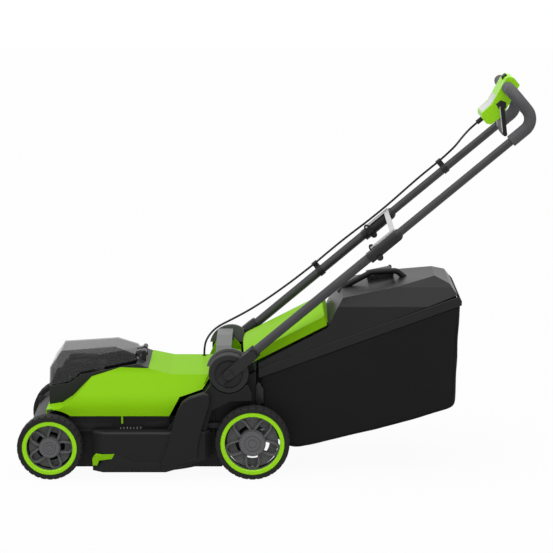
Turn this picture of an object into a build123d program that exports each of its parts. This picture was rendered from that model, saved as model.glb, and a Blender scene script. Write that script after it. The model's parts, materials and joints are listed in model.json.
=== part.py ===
# Cordless push lawn mower with a grass box and a folding, telescoping handle.
# Millimetres. While modelling, X is measured from the rear axle towards the handle, Y to the
# right-hand side and Z up from the ground. Every piece is moved to the middle of the box at the end.
import os
from math import atan2, cos, degrees, hypot, radians, sin

from build123d import *

# Wheels
front_axle_x = -554.0
front_wheel_d = 178.0
rear_wheel_d = 203.0
wheel_outer_y = 222.0
wheel_width = 43.0
tread_depth = 3.0
tread_notches = 30
spoke_count = 5
spoke_wall = 6.0
ring_inset = 13.5
ring_width = 12.5
front_boss_r = 29.0
rear_boss_r = 36.5
axle_d = 12.0
head_d = 22.0
running_gap = 0.1

# Height adjustment
crank_dx = 31.0
crank_dz = 21.8
crank_bar_d = 14.0
horn_length = 70.0
horn_angle = 115.0
crank_plate_y = (166.0, 171.0)
crank_plate_width = 26.0
horn_width = 20.0
horn_pin_d = 8.0
rod_y = (172.0, 176.0)
rod_height = 14.0

# Deck and cutting chamber
wall = 3.0
core_half_width = 164.0
skirt_z = 22.0
chamber_x = -300.0
chamber_r = 213.0
chamber_roof_z = 108.0
bulge_top_z = 134.0
core_top_z = 165.0
blade_length = 410.0
blade_z = 46.0

# Handle
handle_angle = 40.0
pivot_x = -64.4
pivot_z = 292.3
tube_y = 182.0
lower_tube_d = 25.0
upper_tube_d = 22.0
tube_wall = 1.2
handle_reach = 1073.0
handle_rise = 99.0
handle_bend_r = 38.0
grip_d = 33.0
housing_r = 55.0
pivot_bolt_d = 12.0

# Grass box
box_half_width = 163.0
box_wall = 2.5

# Cable
cable_d = 6.0
cable_end_gap = 0.3

parts = {}


def block(x0, x1, y0, y1, z0, z1):
    """A box between two corners."""
    return Pos((x0 + x1) / 2, (y0 + y1) / 2, (z0 + z1) / 2) * Box(x1 - x0, y1 - y0, z1 - z0)


def side_face(points):
    """A face in the XZ plane at Y = 0."""
    return make_face(Polyline(*[(x, 0, z) for x, z in points], close=True))


def side_prism(points, y0, y1):
    """An XZ outline carried from y0 to y1."""
    return extrude(Pos(0, y0, 0) * side_face(points), amount=y1 - y0, dir=(0, 1, 0))


def front_prism(points, x0, x1):
    """A YZ outline carried from x0 to x1."""
    face = make_face(Polyline(*[(x0, y, z) for y, z in points], close=True))
    return extrude(face, amount=x1 - x0, dir=(1, 0, 0))


def cyl_y(x, z, d, y0, y1):
    """A round bar along Y."""
    return Pos(x, (y0 + y1) / 2, z) * Rot(90, 0, 0) * Cylinder(d / 2, y1 - y0)


def cyl_z(x, y, d, z0, z1):
    """A round bar along Z."""
    return Pos(x, y, (z0 + z1) / 2) * Cylinder(d / 2, z1 - z0)


def mirrored(solid):
    """The same piece on the right-hand side."""
    return mirror(solid, about=Plane.XZ)


def add_pair(name, left):
    """Store a left-hand piece and its mirror image."""
    parts[name + "_left"] = left
    parts[name + "_right"] = mirrored(left)


def inset(points, amount):
    """A face of the XZ outline moved inwards, its corners kept sharp."""
    count = len(points)
    area = sum(a[0] * b[1] - b[0] * a[1] for a, b in zip(points, points[1:] + points[:1]))
    turn = 1 if area > 0 else -1
    moved = []
    for i in range(count):
        before, at, after = points[i - 1], points[i], points[(i + 1) % count]
        first = Vector(at[0] - before[0], at[1] - before[1]).normalized()
        second = Vector(after[0] - at[0], after[1] - at[1]).normalized()
        bisector = Vector(-first.Y - second.Y, first.X + second.X).normalized() * turn
        reach = amount / (bisector.dot(Vector(-second.Y, second.X)) * turn)
        moved.append((at[0] + bisector.X * reach, at[1] + bisector.Y * reach))
    return side_face(moved)


def tube(path, d, bore=0.0):
    """A round tube along a path of straight runs and tangent arcs."""
    start = path @ 0
    plane = Plane(origin=start, z_dir=path % 0)
    solid = sweep(plane * Circle(d / 2), path=path)
    if bore:
        solid -= sweep(plane * Circle(bore / 2), path=path)
    return solid


# Wheels, each with a tyre, a spoked hub and a bright ring

def wheel(name, x, radius, boss_r, first_spoke, side):
    """Tyre, hub and ring of one wheel. Side is -1 on the left."""
    ring_outer = radius - ring_inset
    ring_inner = ring_outer - ring_width
    outer = wheel_outer_y
    inner = outer - wheel_width
    ring_face = outer - 9.0
    share = 2 * radius / rear_wheel_d
    spoke_w = 40.0 * share

    tyre = cyl_y(0, 0, 2 * radius, -outer, -inner) - cyl_y(0, 0, 2 * ring_outer, -outer, -inner)
    rims = [e for e in tyre.edges().filter_by(GeomType.CIRCLE) if e.radius > radius - 1]
    tyre = fillet(rims, 5)
    notch = Pos(radius, 0, 0) * Box(2 * tread_depth, 11, 5)
    notches = []
    for face_y in (-outer + 4, -inner - 4):
        for i in range(tread_notches):
            notches.append(Pos(0, face_y, 0) * Rot(0, 360 / tread_notches * i, 0) * notch)
    tyre -= notches

    hub = cyl_y(0, 0, 2 * ring_outer, -ring_face, -inner) - cyl_y(0, 0, 2 * ring_inner, -ring_face, -inner)
    web_r = ring_inner - 5.0
    hub += cyl_y(0, 0, 2 * web_r, -inner - 20, -inner - 16)
    loop_length = ring_inner + 2 - boss_r / 2
    centre = (ring_inner + 2 + boss_r / 2) / 2
    for i in range(spoke_count):
        angle = first_spoke + 360 / spoke_count * i
        loop = SlotOverall(loop_length, spoke_w)
        loop -= SlotOverall(loop_length - 2 * spoke_wall, spoke_w - 2 * spoke_wall)
        place = Pos(0, -inner - 12, 0) * Rot(0, -angle, 0) * Pos(centre, 0, 0)
        pocket = extrude(Plane.XZ * SlotOverall(loop_length - spoke_wall, spoke_w - spoke_wall), amount=16)
        hub -= place * pocket
        hub += place * extrude(Plane.XZ * loop, amount=16)
    hub += cyl_y(0, 0, 2 * boss_r, -outer + 8, -inner)
    hub -= cyl_y(0, 0, axle_d + 2 * running_gap, -outer, -inner)
    hub -= cyl_y(0, 0, head_d + 8, -outer, -outer + 18)

    ring = cyl_y(0, 0, 2 * ring_outer, -outer + 1, -ring_face)
    ring -= cyl_y(0, 0, 2 * ring_inner, -outer, -ring_face)
    ring = chamfer(ring.edges().filter_by(GeomType.CIRCLE).group_by(Axis.Y)[0], 1.5)

    cap = cyl_y(0, 0, 2 * boss_r - 6, -outer + 3, -outer + 8)
    for groove_r in (boss_r * 0.62, boss_r * 0.34):
        groove = cyl_y(0, 0, 2 * groove_r, -outer, -outer + 4.2)
        cap -= groove - cyl_y(0, 0, 2 * groove_r - 5, -outer, -outer + 4.2)
    hub += cap

    for piece, solid in (("tyre", tyre), ("hub", hub), ("ring", ring)):
        if side > 0:
            solid = mirrored(solid)
        parts[f"{name}_{piece}"] = Pos(x, 0, radius) * solid


for hand, side in (("left", -1), ("right", 1)):
    wheel(f"front_{hand}", front_axle_x, front_wheel_d / 2, front_boss_r, 0.0, side)
    wheel(f"rear_{hand}", 0.0, rear_wheel_d / 2, rear_boss_r, 54.0, side)


# Cranked axles, their horns and the connecting rods that keep both axles level

def horn_pin(pivot):
    """Rest place of the horn's pin."""
    turn = radians(horn_angle)
    return (pivot[0] + horn_length * cos(turn), pivot[1] + horn_length * sin(turn))


def link_plate(a, b, width, y0, y1):
    """A flat link with round ends from a to b in XZ."""
    length = hypot(b[0] - a[0], b[1] - a[1])
    tilt = degrees(atan2(b[1] - a[1], b[0] - a[0]))
    shape = extrude(Plane.XZ * SlotCenterToCenter(length, width), amount=y1 - y0)
    middle = ((a[0] + b[0]) / 2, (a[1] + b[1]) / 2)
    return Pos(middle[0], y1, middle[1]) * Rot(0, -tilt, 0) * shape


front_pivot = (front_axle_x - crank_dx, front_wheel_d / 2 - crank_dz)
rear_pivot = (-crank_dx, rear_wheel_d / 2 - crank_dz)
front_pin = horn_pin(front_pivot)
rear_pin = horn_pin(rear_pivot)


def cranked_axle(wheel_x, wheel_z, pivot):
    """A cross bar with a plate, a wheel stub and a horn pin at each end."""
    pin = horn_pin(pivot)
    axle = cyl_y(pivot[0], pivot[1], crank_bar_d, -crank_plate_y[0], crank_plate_y[0])
    side = link_plate(pivot, (wheel_x, wheel_z), crank_plate_width, -crank_plate_y[1], -crank_plate_y[0])
    side += link_plate(pivot, pin, horn_width, -crank_plate_y[1], -crank_plate_y[0])
    side += cyl_y(wheel_x, wheel_z, axle_d, -wheel_outer_y + 10, -crank_plate_y[0])
    side += cyl_y(wheel_x, wheel_z, head_d, -wheel_outer_y + 11, -wheel_outer_y + 16)
    side += cyl_y(pin[0], pin[1], horn_pin_d, -rod_y[1] - 1.5, -crank_plate_y[0])
    return axle + side + mirrored(side)


parts["front_axle"] = cranked_axle(front_axle_x, front_wheel_d / 2, front_pivot)
parts["rear_axle"] = cranked_axle(0.0, rear_wheel_d / 2, rear_pivot)

rod = link_plate(front_pin, rear_pin, rod_height, -rod_y[1], -rod_y[0])
for pin in (front_pin, rear_pin):
    rod -= cyl_y(pin[0], pin[1], horn_pin_d + 4 * running_gap, -rod_y[1], -rod_y[0])
add_pair("height_rod", rod)

# Grip on the right-hand rod that sets the cutting height
grip_x = -360.0
rod_slope = (rear_pin[1] - front_pin[1]) / (rear_pin[0] - front_pin[0])
grip_rod_z = front_pin[1] + rod_slope * (grip_x - front_pin[0])
grip_z = 168.0
stem = block(grip_x - 12, grip_x + 12, rod_y[1], rod_y[1] + 4, grip_rod_z - 6, grip_z + 6)
stem += block(grip_x - 12, grip_x + 12, rod_y[1], 196, grip_z, grip_z + 6)
knob = fillet(block(grip_x - 30, grip_x + 30, 195, 216, grip_z - 2, grip_z + 18).edges(), 4)
parts["height_grip"] = stem + knob


# Deck: nose, core, cutting chamber, side bulges, rear chute and the arms that carry the handle

core_outline = [
    (-608, skirt_z), (-622, 40), (-622, 118), (-600, 142), (-568, core_top_z), (-150, core_top_z),
    (-146, 225), (-112, 262), (-36, 262), (10, 292), (10, 120), (-5, 58), (-60, 58), (-85, skirt_z),
]
core = side_prism(core_outline, -core_half_width, core_half_width)
inner_face = inset(core_outline, wall)
inner_half = core_half_width - wall
core -= extrude(Pos(0, -inner_half, 0) * inner_face, amount=2 * inner_half, dir=(0, 1, 0))
core -= extrude(Pos(0, -inner_half, -2 * wall) * inner_face, amount=2 * inner_half, dir=(0, 1, 0))
core_front = core.edges().filter_by(Axis.Z).group_by(Axis.X)[0]
core = fillet([e for e in core_front if abs(e.center().Y) > inner_half + 1], 2.5)

chamber = cyl_z(chamber_x, 0, 2 * (chamber_r + wall), skirt_z, chamber_roof_z + wall)
chamber -= cyl_z(chamber_x, 0, 2 * chamber_r, skirt_z, chamber_roof_z)

bulge_front_x = -438.0
bulge_rear_x = -114.0
rod_channel_y = 181.0
bulge_plan = [
    (bulge_front_x, rod_channel_y), (bulge_front_x, 200), (-409, 222), (-210, 222), (-130, 210),
    (bulge_rear_x, 196), (bulge_rear_x, rod_channel_y),
]


def plan_prism(points, z0, z1, grow=0.0):
    """A plan outline on the left-hand side, carried from z0 to z1."""
    face = make_face(Polyline(*[(x, -y, z0) for x, y in points], close=True))
    if grow:
        face = offset(face, amount=grow, kind=Kind.INTERSECTION)
    return extrude(face, amount=z1 - z0, dir=(0, 0, 1))


bulge = plan_prism(bulge_plan, skirt_z, bulge_top_z)
bulge = fillet([e for e in bulge.edges().group_by(Axis.Z)[-1] if e.center().Y < -rod_channel_y - 2], 8)
bulge_hollow = plan_prism(bulge_plan, skirt_z - 1, bulge_top_z - wall, -wall)
bulge -= bulge_hollow
tail_cut = side_prism([(-240, skirt_z - 1), (-90, 66), (-90, skirt_z - 1)], -240, -150)
bulge -= tail_cut
bulges = bulge + mirrored(bulge)

arm_outline = [
    (-238, 128), (-207, 176), (-176, 220), (-132, 236), (-116, 258), (-104, 330), (-25, 330), (-12, 262),
    (-2, 238), (-2, 218), (-60, 216), (-112, 190), (-128, 128),
]
arm = side_prism(arm_outline, -200, -core_half_width + wall)
arm -= block(-400, 200, -rod_channel_y, -core_half_width, 0, 196)
arm -= cyl_y(0, rear_wheel_d / 2, rear_wheel_d + 22, -300, -rod_channel_y + 3)
arm -= block(-300, 100, -300, -100, 262, 400)
arms = arm + mirrored(arm)

housing_inner_y = 158.0
deck = core + bulges + arms
for y0, y1 in ((-300, -housing_inner_y), (housing_inner_y, 300)):
    deck -= cyl_y(pivot_x, pivot_z, 2 * housing_r, y0, y1)
deck -= cyl_z(chamber_x, 0, 2 * (chamber_r + wall), 0, chamber_roof_z + wall)
deck -= cyl_z(chamber_x, 0, 190, core_top_z - wall - 1, core_top_z + 1)
for pivot in (front_pivot, rear_pivot):
    deck -= cyl_y(pivot[0], pivot[1], crank_bar_d + 2 * running_gap, -200, 200)

# Chute from the chamber up to the grass box
chute_half = 138.0
chamber -= cyl_z(chamber_x, 0, 46, chamber_roof_z - 1, chamber_roof_z + wall + 1)
chamber -= block(-130, -60, -110, 110, 52, chamber_roof_z)
parts["blade_chamber"] = chamber
deck -= block(0, 20, -chute_half, chute_half, 150, 262)
ramp_outline = [(-98, 62), (7.5, 142), (7.5, 146), (-101, 66)]
ramp = side_prism(ramp_outline, -inner_half, inner_half)
deck += ramp - cyl_z(chamber_x, 0, 2 * (chamber_r + wall), 0, chamber_roof_z + wall)
parts["deck"] = deck

# Green combs at the front corners of the bulges that guide the grass in
comb_outline = [(-436, 42), (-437, 60), (-428, 72), (-376, 74), (-384, 60), (-418, 56), (-424, 42)]
comb = side_prism(comb_outline, -225, -200) - plan_prism(bulge_plan, 0, 200, running_gap)
parts["grass_combs"] = Compound(children=[comb, mirrored(comb)])

# Round housings that carry the handle, and the strap between them
housing = cyl_y(pivot_x, pivot_z, 2 * housing_r, -199, -housing_inner_y)
housing = fillet(housing.edges().filter_by(GeomType.CIRCLE).group_by(Axis.Y)[0], 5)
housing -= cyl_y(pivot_x, pivot_z, 78, -199, -196) - cyl_y(pivot_x, pivot_z, 70, -199, -196)
housing -= cyl_y(pivot_x, pivot_z, 2 * housing_r - 10, -192, -housing_inner_y - wall)
housing += cyl_y(pivot_x, pivot_z, 26, -194, -housing_inner_y)
housing -= cyl_y(pivot_x, pivot_z, pivot_bolt_d + 2 * running_gap, -240, -100)
parts["pivot_housings"] = Compound(children=[housing, mirrored(housing)])

strap_x = (-101.0, -58.0)
strap_end_y = housing_inner_y - 0.3
strap_arc = [(-strap_end_y, 330), (-110, 352), (0, 359), (110, 352), (strap_end_y, 330)]
strap_low = [(y, z - 13) for y, z in reversed(strap_arc)]
beam = front_prism(strap_arc + strap_low, *strap_x)
beam = fillet(beam.edges().filter_by(Axis.X), 5)
cheek = cyl_y(pivot_x, pivot_z, 2 * housing_r + 14, -strap_end_y, -strap_end_y + 6)
cheek &= block(-130, -27, -strap_end_y, -strap_end_y + 6, 304, 360)
parts["carry_beam"] = beam + cheek + mirrored(cheek)


# Hood over the motor, open at the front round the battery bay

hood_outline = [
    (-566, 172), (-228, 172), (-200, 222), (-138, 240), (-120, 264), (-35, 264), (-35, 290), (-62, 290),
    (-116, 274), (-225, 274), (-285, 288), (-365, 291), (-445, 265), (-495, 213), (-526, 192), (-566, 186),
]
hood_section = [(190, 172), (188, 195), (182, 213), (169, 230), (122, 276), (104, 318)]


def hood_solid(skin):
    """The hood's outside, moved inwards by skin."""
    outline = inset(hood_outline, skin) if skin else side_face(hood_outline)
    body = extrude(Pos(0, -200, 0) * outline, amount=400, dir=(0, 1, 0))
    right = [(y - skin, z) for y, z in hood_section]
    low = right[0][0] + 1.5 * skin
    left = [(-y, z) for y, z in reversed(right)]
    section = [(low, 100)] + right + [(60, 340)] + [(-60, 340)] + left + [(-low, 100)]
    return body & front_prism(section, -600, 0)


hood_hollow = hood_solid(wall)
hood = hood_solid(0.0) - hood_hollow
for drop in (5, 11, 24, 50):
    hood -= Pos(0, 0, -drop) * hood_hollow
hood -= block(bulge_rear_x - 200, 0, -126, 126, 100, 262)
front_well = cyl_y(front_axle_x, front_wheel_d / 2, front_wheel_d + 22, -300, -172)
hood -= front_well + mirrored(front_well)
bay_half = 112.0
bay_front_x = -563.0
bay_rear_x = -288.0
hood -= block(bay_front_x, bay_rear_x, -bay_half, bay_half, 172, 400)
for y0, y1 in ((-300, -148), (148, 300)):
    hood -= block(-130, 50, y0, y1, 100, 400)
hood -= block(strap_x[0] - 2, strap_x[1] + 2, -160, 160, 310, 400)
pointer = block(-359, -354, -189.5, -187.5, 151, 178)
hood += pointer
ear_outline = [(-140, 240), (-104, 318), (-56, 318), (-36, 296), (-36, 267), (-120, 267), (-136, 240)]
ear = side_prism(ear_outline, -147, -141) - block(strap_x[0] - 2, strap_x[1] + 2, -160, -130, 310, 400)
hood += ear + mirrored(ear)
hood -= block(grip_x - 26, grip_x + 92, 176, 200, grip_z - 4, grip_z + 16)
parts["hood"] = hood.solids().sort_by(SortBy.VOLUME)[-1]


# Battery bay, its smoked lid and what they hold

bay_outline = [
    (bay_front_x + 0.5, 173), (bay_front_x + 0.5, 237), (-508, 245), (-475, 269), (-318, 300),
    (bay_rear_x - 0.5, 289), (bay_rear_x - 0.5, 173),
]
bay = side_prism(bay_outline, -bay_half + 0.5, bay_half - 0.5)
bay_floor_z = 200.0
bay -= block(-557, -322, -104, 104, bay_floor_z, 400)
bay -= block(-540, -310, -100, 100, 100, bay_floor_z - wall)
lid_hinge = (-304.0, 316.0)
lid_hinge_d = 6.0
lid_knuckle_d = 14.0
for y0, y1 in ((-46, -33), (33, 46)):
    post = block(lid_hinge[0] - 6, lid_hinge[0] + 6, y0, y1, 290, lid_hinge[1])
    bay += post + cyl_y(*lid_hinge, lid_knuckle_d, y0, y1)
bay += cyl_y(*lid_hinge, lid_hinge_d, -46, 46)
parts["battery_bay"] = bay

lid_outline = [
    (bay_front_x + 0.5, 238), (bay_front_x + 0.5, 284), (-533, 327), (-382, 338), (-326, 318), (-318, 304),
    (-475, 272.5), (-508, 248),
]
lid_section = [(111, 180), (106, 238), (56, 345), (56, 400)]


def lid_solid(skin):
    """The lid's outside, moved inwards by skin."""
    outline = inset(lid_outline, skin) if skin else side_face(lid_outline)
    body = extrude(Pos(0, -120, 0) * outline, amount=240, dir=(0, 1, 0))
    right = [(y - skin, z) for y, z in lid_section]
    return body & front_prism(right + [(-y, z) for y, z in reversed(right)], -600, -200)


lid_hollow = lid_solid(wall)
lid = lid_solid(0.0) - lid_hollow - Pos(0, 0, -2 * wall) * lid_hollow
for y0, y1 in ((-32, -10), (10, 32)):
    lid += side_prism([(-328, 318), (-328, 308), (lid_hinge[0], 311), (lid_hinge[0], 322)], y0, y1)
    lid += cyl_y(*lid_hinge, lid_knuckle_d, y0, y1)
lid -= cyl_y(*lid_hinge, lid_hinge_d + 2 * running_gap, -60, 60)
parts["battery_lid"] = lid

for hand, sign in (("left", -1), ("right", 1)):
    pack = block(-535, -415, 6, 70, bay_floor_z, 272)
    pack = fillet(pack.edges().filter_by(Axis.Z), 6)
    pack += block(-520, -440, 14, 62, 271, 290)
    parts[f"battery_{hand}"] = mirrored(pack) if sign < 0 else pack
key = block(-380, -356, -6, 6, bay_floor_z, 240) + cyl_y(-368, 244, 26, -5, 5)
parts["safety_key"] = key - cyl_y(-368, 246, 10, -6, 6)

# Motor, controller and blade
shaft_d = 17.0
motor_housing = cyl_z(chamber_x, 0, 150, chamber_roof_z + wall, 170)
parts["motor_housing"] = motor_housing - cyl_z(chamber_x, 0, shaft_d + 2 * running_gap, 90, 160)
parts["motor_shaft"] = cyl_z(chamber_x, 0, shaft_d, blade_z + 2, 158)
controller = fillet(block(-222, -154, -60, 60, core_top_z + 12, 240).edges(), 4)
for x in (-212, -164):
    for y in (-50, 50):
        controller += cyl_z(x, y, 12, core_top_z, core_top_z + 14)
parts["controller_box"] = controller
adapter = cyl_z(chamber_x, 0, 60, blade_z + 2, blade_z + 22)
parts["blade_adapter"] = adapter - cyl_z(chamber_x, 0, shaft_d, 0, 200)
blade = block(chamber_x - 26, chamber_x + 26, -blade_length / 2, blade_length / 2, blade_z - 2, blade_z + 2)
blade = blade & cyl_z(chamber_x, 0, blade_length, 0, 100)
for sign in (-1, 1):
    wing_outline = [(-8, 0), (-26, 0), (-26, 16), (-23, 16)]
    wing = side_prism([(sign * x, z) for x, z in wing_outline], -190, -120)
    wing = wing if sign < 0 else mirrored(wing)
    blade += Pos(chamber_x, 0, blade_z) * wing
parts["blade"] = blade
parts["blade_bolt"] = Pos(chamber_x, 0, blade_z - 12) * extrude(RegularPolygon(12, 6), amount=10)


# Handle, in its own frame: X along the tubes, Z square to them, origin on the fold axis

handle_frame = Location((pivot_x, 0, pivot_z), (0, -handle_angle, 0))
lower_start = 62.0
lower_end = 560.0
sleeve_range = (495.0, 606.0)
upper_start = 395.0
clearance_bore = lower_tube_d - 2 * tube_wall


def bar_x(y, z, d, x0, x1):
    """A round bar along the handle."""
    return Pos((x0 + x1) / 2, y, z) * Rot(0, 90, 0) * Cylinder(d / 2, x1 - x0)


foot_length = 78.0
foot_width = 30.0
foot_y = (200.0, 209.0)
pivot_head_d = 26.0
foot = link_plate((0, 0), (foot_length, 0), foot_width, -foot_y[1], -foot_y[0])
foot += bar_x(-tube_y, 0, 34, 58, 98)
foot += block(62, 92, -205, -tube_y, -15, 15)
foot -= bar_x(-tube_y, 0, lower_tube_d, lower_start, 120)
foot = foot - cyl_y(0, 0, pivot_bolt_d, -240, -150)
pivot_bolt = cyl_y(0, 0, pivot_head_d, -foot_y[1] - 5, -foot_y[1])
pivot_bolt -= block(-10, 10, -foot_y[1] - 7, -foot_y[1] - 3, -3, 3)
pivot_bolt += cyl_y(0, 0, pivot_bolt_d, -foot_y[1] - 1, -housing_inner_y)
lower_tube = bar_x(-tube_y, 0, lower_tube_d, lower_start, lower_end)
lower_tube -= bar_x(-tube_y, 0, clearance_bore, lower_start, lower_end)
lower_tube -= cyl_y(463, 0, 7, -tube_y - 20, -tube_y - 5)

# Clamp sleeve with its collar and bolt ear
collar_end = 535.0
clamp_at = (520.0, -17.0)
clamp_bolt_d = 8.0
sleeve = bar_x(-tube_y, 0, 36, sleeve_range[0], collar_end)
sleeve += bar_x(-tube_y, -1, 34, collar_end, sleeve_range[1] - 14)
sleeve += Pos(sleeve_range[1] - 14, -tube_y, -1) * Sphere(17)
sleeve += cyl_y(*clamp_at, 18, -tube_y - 13, -tube_y + 13)
sleeve = sleeve & block(0, sleeve_range[1], -tube_y - 40, -tube_y + 40, -60, 12.4)
sleeve -= bar_x(-tube_y, 0, lower_tube_d, 0, lower_end)
sleeve -= bar_x(-tube_y, 0, clearance_bore, 0, 900)
clamp_bolt = cyl_y(*clamp_at, clamp_bolt_d, -tube_y - 15, -tube_y + 15)
clamp_bolt += cyl_y(*clamp_at, 13, -tube_y - 18, -tube_y - 13)
sleeve -= cyl_y(*clamp_at, clamp_bolt_d, -tube_y - 30, -tube_y + 30)
sleeve -= cyl_y(*clamp_at, 13, -tube_y - 30, -tube_y - 13)
bail_pin = (518.0, 16.0)
bail_pin_d = 6.0
ear = block(510, 526, -tube_y + 17, -tube_y + 23, -6, bail_pin[1])
ear += cyl_y(*bail_pin, 14, -tube_y + 17, -tube_y + 23)
sleeve += ear - cyl_y(*bail_pin, bail_pin_d + 2 * running_gap, -tube_y, 0)

add_pair("lower_tube", handle_frame * lower_tube)
for name, solid in (
    ("handle_feet", foot),
    ("clamp_sleeves", sleeve),
    ("pivot_bolts", pivot_bolt),
    ("clamp_bolts", clamp_bolt),
):
    left = handle_frame * solid
    parts[name] = Compound(children=[left, mirrored(left)])

# Lock bail: a strap between two arms that lie on the clamps
bail_end = 598.0
bail_arm = link_plate(bail_pin, (bail_end - 2, bail_pin[1]), 4, -tube_y + 3, -tube_y + 16.5)
bail_arm += cyl_y(*bail_pin, bail_pin_d, -tube_y + 4, -tube_y + 24)
bail = bail_arm + mirrored(bail_arm)
bail += block(bail_end - 15, bail_end, -tube_y + 5, tube_y - 5, 14.5, 17.5)
parts["lock_bail"] = handle_frame * bail

# Upper bar: two legs, two upright bends and a cross bar, as one bent tube
cross_bend_r = 45.0
half_path = [(upper_start, -tube_y, 0), (handle_reach, -tube_y, 0), (handle_reach, -tube_y, handle_rise)]
bar_points = half_path + [(x, -y, z) for x, y, z in reversed(half_path)]
bar_radii = [handle_bend_r, cross_bend_r, cross_bend_r, handle_bend_r]
bar_path = FilletPolyline(*bar_points, radius=bar_radii)
parts["upper_bar"] = handle_frame * tube(bar_path, upper_tube_d, upper_tube_d - 2 * tube_wall)

grip_start = 987.0
grip_points = [(grip_start, -tube_y, 0)] + bar_points[1:5] + [(grip_start, tube_y, 0)]
grip_path = FilletPolyline(*grip_points, radius=bar_radii)
grip = tube(grip_path, grip_d, upper_tube_d)
parts["foam_grip"] = handle_frame * (grip - block(900, 1200, -62, 62, 60, 140))

# Control box over the cross bar, with the start lever and button
box_y = 60.0
control_outline = [
    (967, 60), (975, 50), (1012, 48), (1085, 76), (1103, 84), (1103, 108), (1094, 120), (1084, 121),
    (1012, 92), (975, 90), (967, 80),
]
control = side_prism(control_outline, -box_y, box_y)
control = fillet(control.edges().filter_by(Axis.Y), 3)
control_half = box_y - wall
control_face = Pos(0, -control_half, 0) * inset(control_outline, wall)
control -= extrude(control_face, amount=2 * control_half, dir=(0, 1, 0))
control += bar_x(0, 70, 12, 950, 968)
control -= bar_x(0, 70, cable_d + 2 * running_gap, 940, 975)
control -= cyl_y(handle_reach, handle_rise, upper_tube_d, -100, 100)
lever_pivot = (1030.0, 70.0)
lever_pin_d = 6.0
control -= cyl_y(*lever_pivot, lever_pin_d, -100, 100)
lever_slot_half = 42.0
control -= block(1004, 1058, -lever_slot_half, lever_slot_half, 40, 84)
control -= block(1077, 1095, -15, 15, 110, 130)
control_split = 84.0
split_low = block(900, 1200, -100, 100, 0, control_split)
parts["control_top"] = handle_frame * (control - split_low)
parts["control_base"] = handle_frame * (control & split_low)
parts["start_button"] = handle_frame * fillet(block(1078, 1094, -14, 14, 115, 126).edges(), 2)

parts["lever_pin"] = handle_frame * cyl_y(*lever_pivot, lever_pin_d, -box_y, box_y)
lever_tip = (988.0, 6.0)
lever_tip_d = 12.0
lever_arm_y = (61.2, 68.0)
lever_arm_width = 11.0
lever_link_half = lever_slot_half - 2
lever = link_plate(lever_pivot, lever_tip, 14, -lever_link_half, lever_link_half)
lever += cyl_y(*lever_tip, lever_tip_d, -lever_arm_y[1], lever_arm_y[1])
lever_arm = link_plate(lever_pivot, lever_tip, lever_arm_width, -lever_arm_y[1], -lever_arm_y[0])
lever += lever_arm + mirrored(lever_arm)
lever -= cyl_y(*lever_pivot, lever_pin_d + 2 * running_gap, -60, 60)
parts["start_lever"] = handle_frame * lever


# Cable from the control box to the hood along the right-hand tube, with two clips

clip_upper_s = 795.0
clip_lower_s = 335.0
cable_n = 26.0
cable_y = 186.0


def cable_clip(s, d):
    """A ring round the tube with an eye for the cable."""
    clip = bar_x(tube_y, 0, d + 6, s - 8, s + 8) + bar_x(cable_y, cable_n, cable_d + 6, s - 8, s + 8)
    clip += block(s - 8, s + 8, cable_y - 4, cable_y + 4, d / 2, cable_n - 4)
    return clip - bar_x(tube_y, 0, d, s - 9, s + 9) - bar_x(cable_y, cable_n, cable_d + 0.4, s - 9, s + 9)


parts["cable_clip_upper"] = handle_frame * cable_clip(clip_upper_s, upper_tube_d)
parts["cable_clip_lower"] = handle_frame * cable_clip(clip_lower_s, lower_tube_d)
upper_route = [
    (966, 0, 70), (934, 0, 70), (912, 40, 62), (886, 104, 48), (862, 160, 34), (828, cable_y, 27),
    (clip_upper_s + cable_end_gap, cable_y, cable_n),
]
middle_route = [
    (clip_upper_s - cable_end_gap, cable_y, cable_n), (735, cable_y, 27), (670, cable_y, 25),
    (600, cable_y, 22.5), (530, cable_y, 23), (465, cable_y, 26), (400, cable_y, 27),
    (clip_lower_s + cable_end_gap, cable_y, cable_n),
]
lower_route = [
    (clip_lower_s - cable_end_gap, cable_y, cable_n), (275, cable_y, 27), (215, 182, 31), (155, 174, 37),
    (98, 167, 46), (46, 161, 58), (4, 148, 70), (-30, 130, 68), (-56, 114, 54), (-76, 106, 28),
]


def cable_run(points):
    """A cable tube on straight runs with arcs as large as the runs allow."""
    radii = []
    for before, at, after in zip(points, points[1:], points[2:]):
        first = Vector(*at) - Vector(*before)
        second = Vector(*after) - Vector(*at)
        half_turn = radians(first.get_angle(second)) / 2
        radii.append(0.45 * min(first.length, second.length) * cos(half_turn) / sin(half_turn))
    path = FilletPolyline(*points, radius=radii)
    print(f"cable run {path.length:.0f} mm, least radius {min(radii):.0f} mm")
    return tube(path, cable_d)


parts["cable_upper"] = handle_frame * cable_run(upper_route)
parts["cable_middle"] = handle_frame * cable_run(middle_route)
parts["cable_lower"] = handle_frame * cable_run(lower_route)
cable_entry = (-140.5, 107.5)
cable_hole_d = 2.4 * cable_d
parts["hood"] -= cyl_z(*cable_entry, cable_hole_d, 264, 300)


# Rear flap over the chute

flap_slope = 27.2
flap_start = (-22.0, 331.4)
flap_length = 247.0
flap_half = 157.0
flap_crown = 12.0
flap_band = 25.0
flap_frame = Location((flap_start[0], 0, flap_start[1]), (0, -flap_slope, 0))


def flap_arc(half, z, crown):
    """The crowned top line of the flap."""
    return ThreePointArc((0, -half, z), (0, 0, z + crown), (0, half, z))


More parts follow.
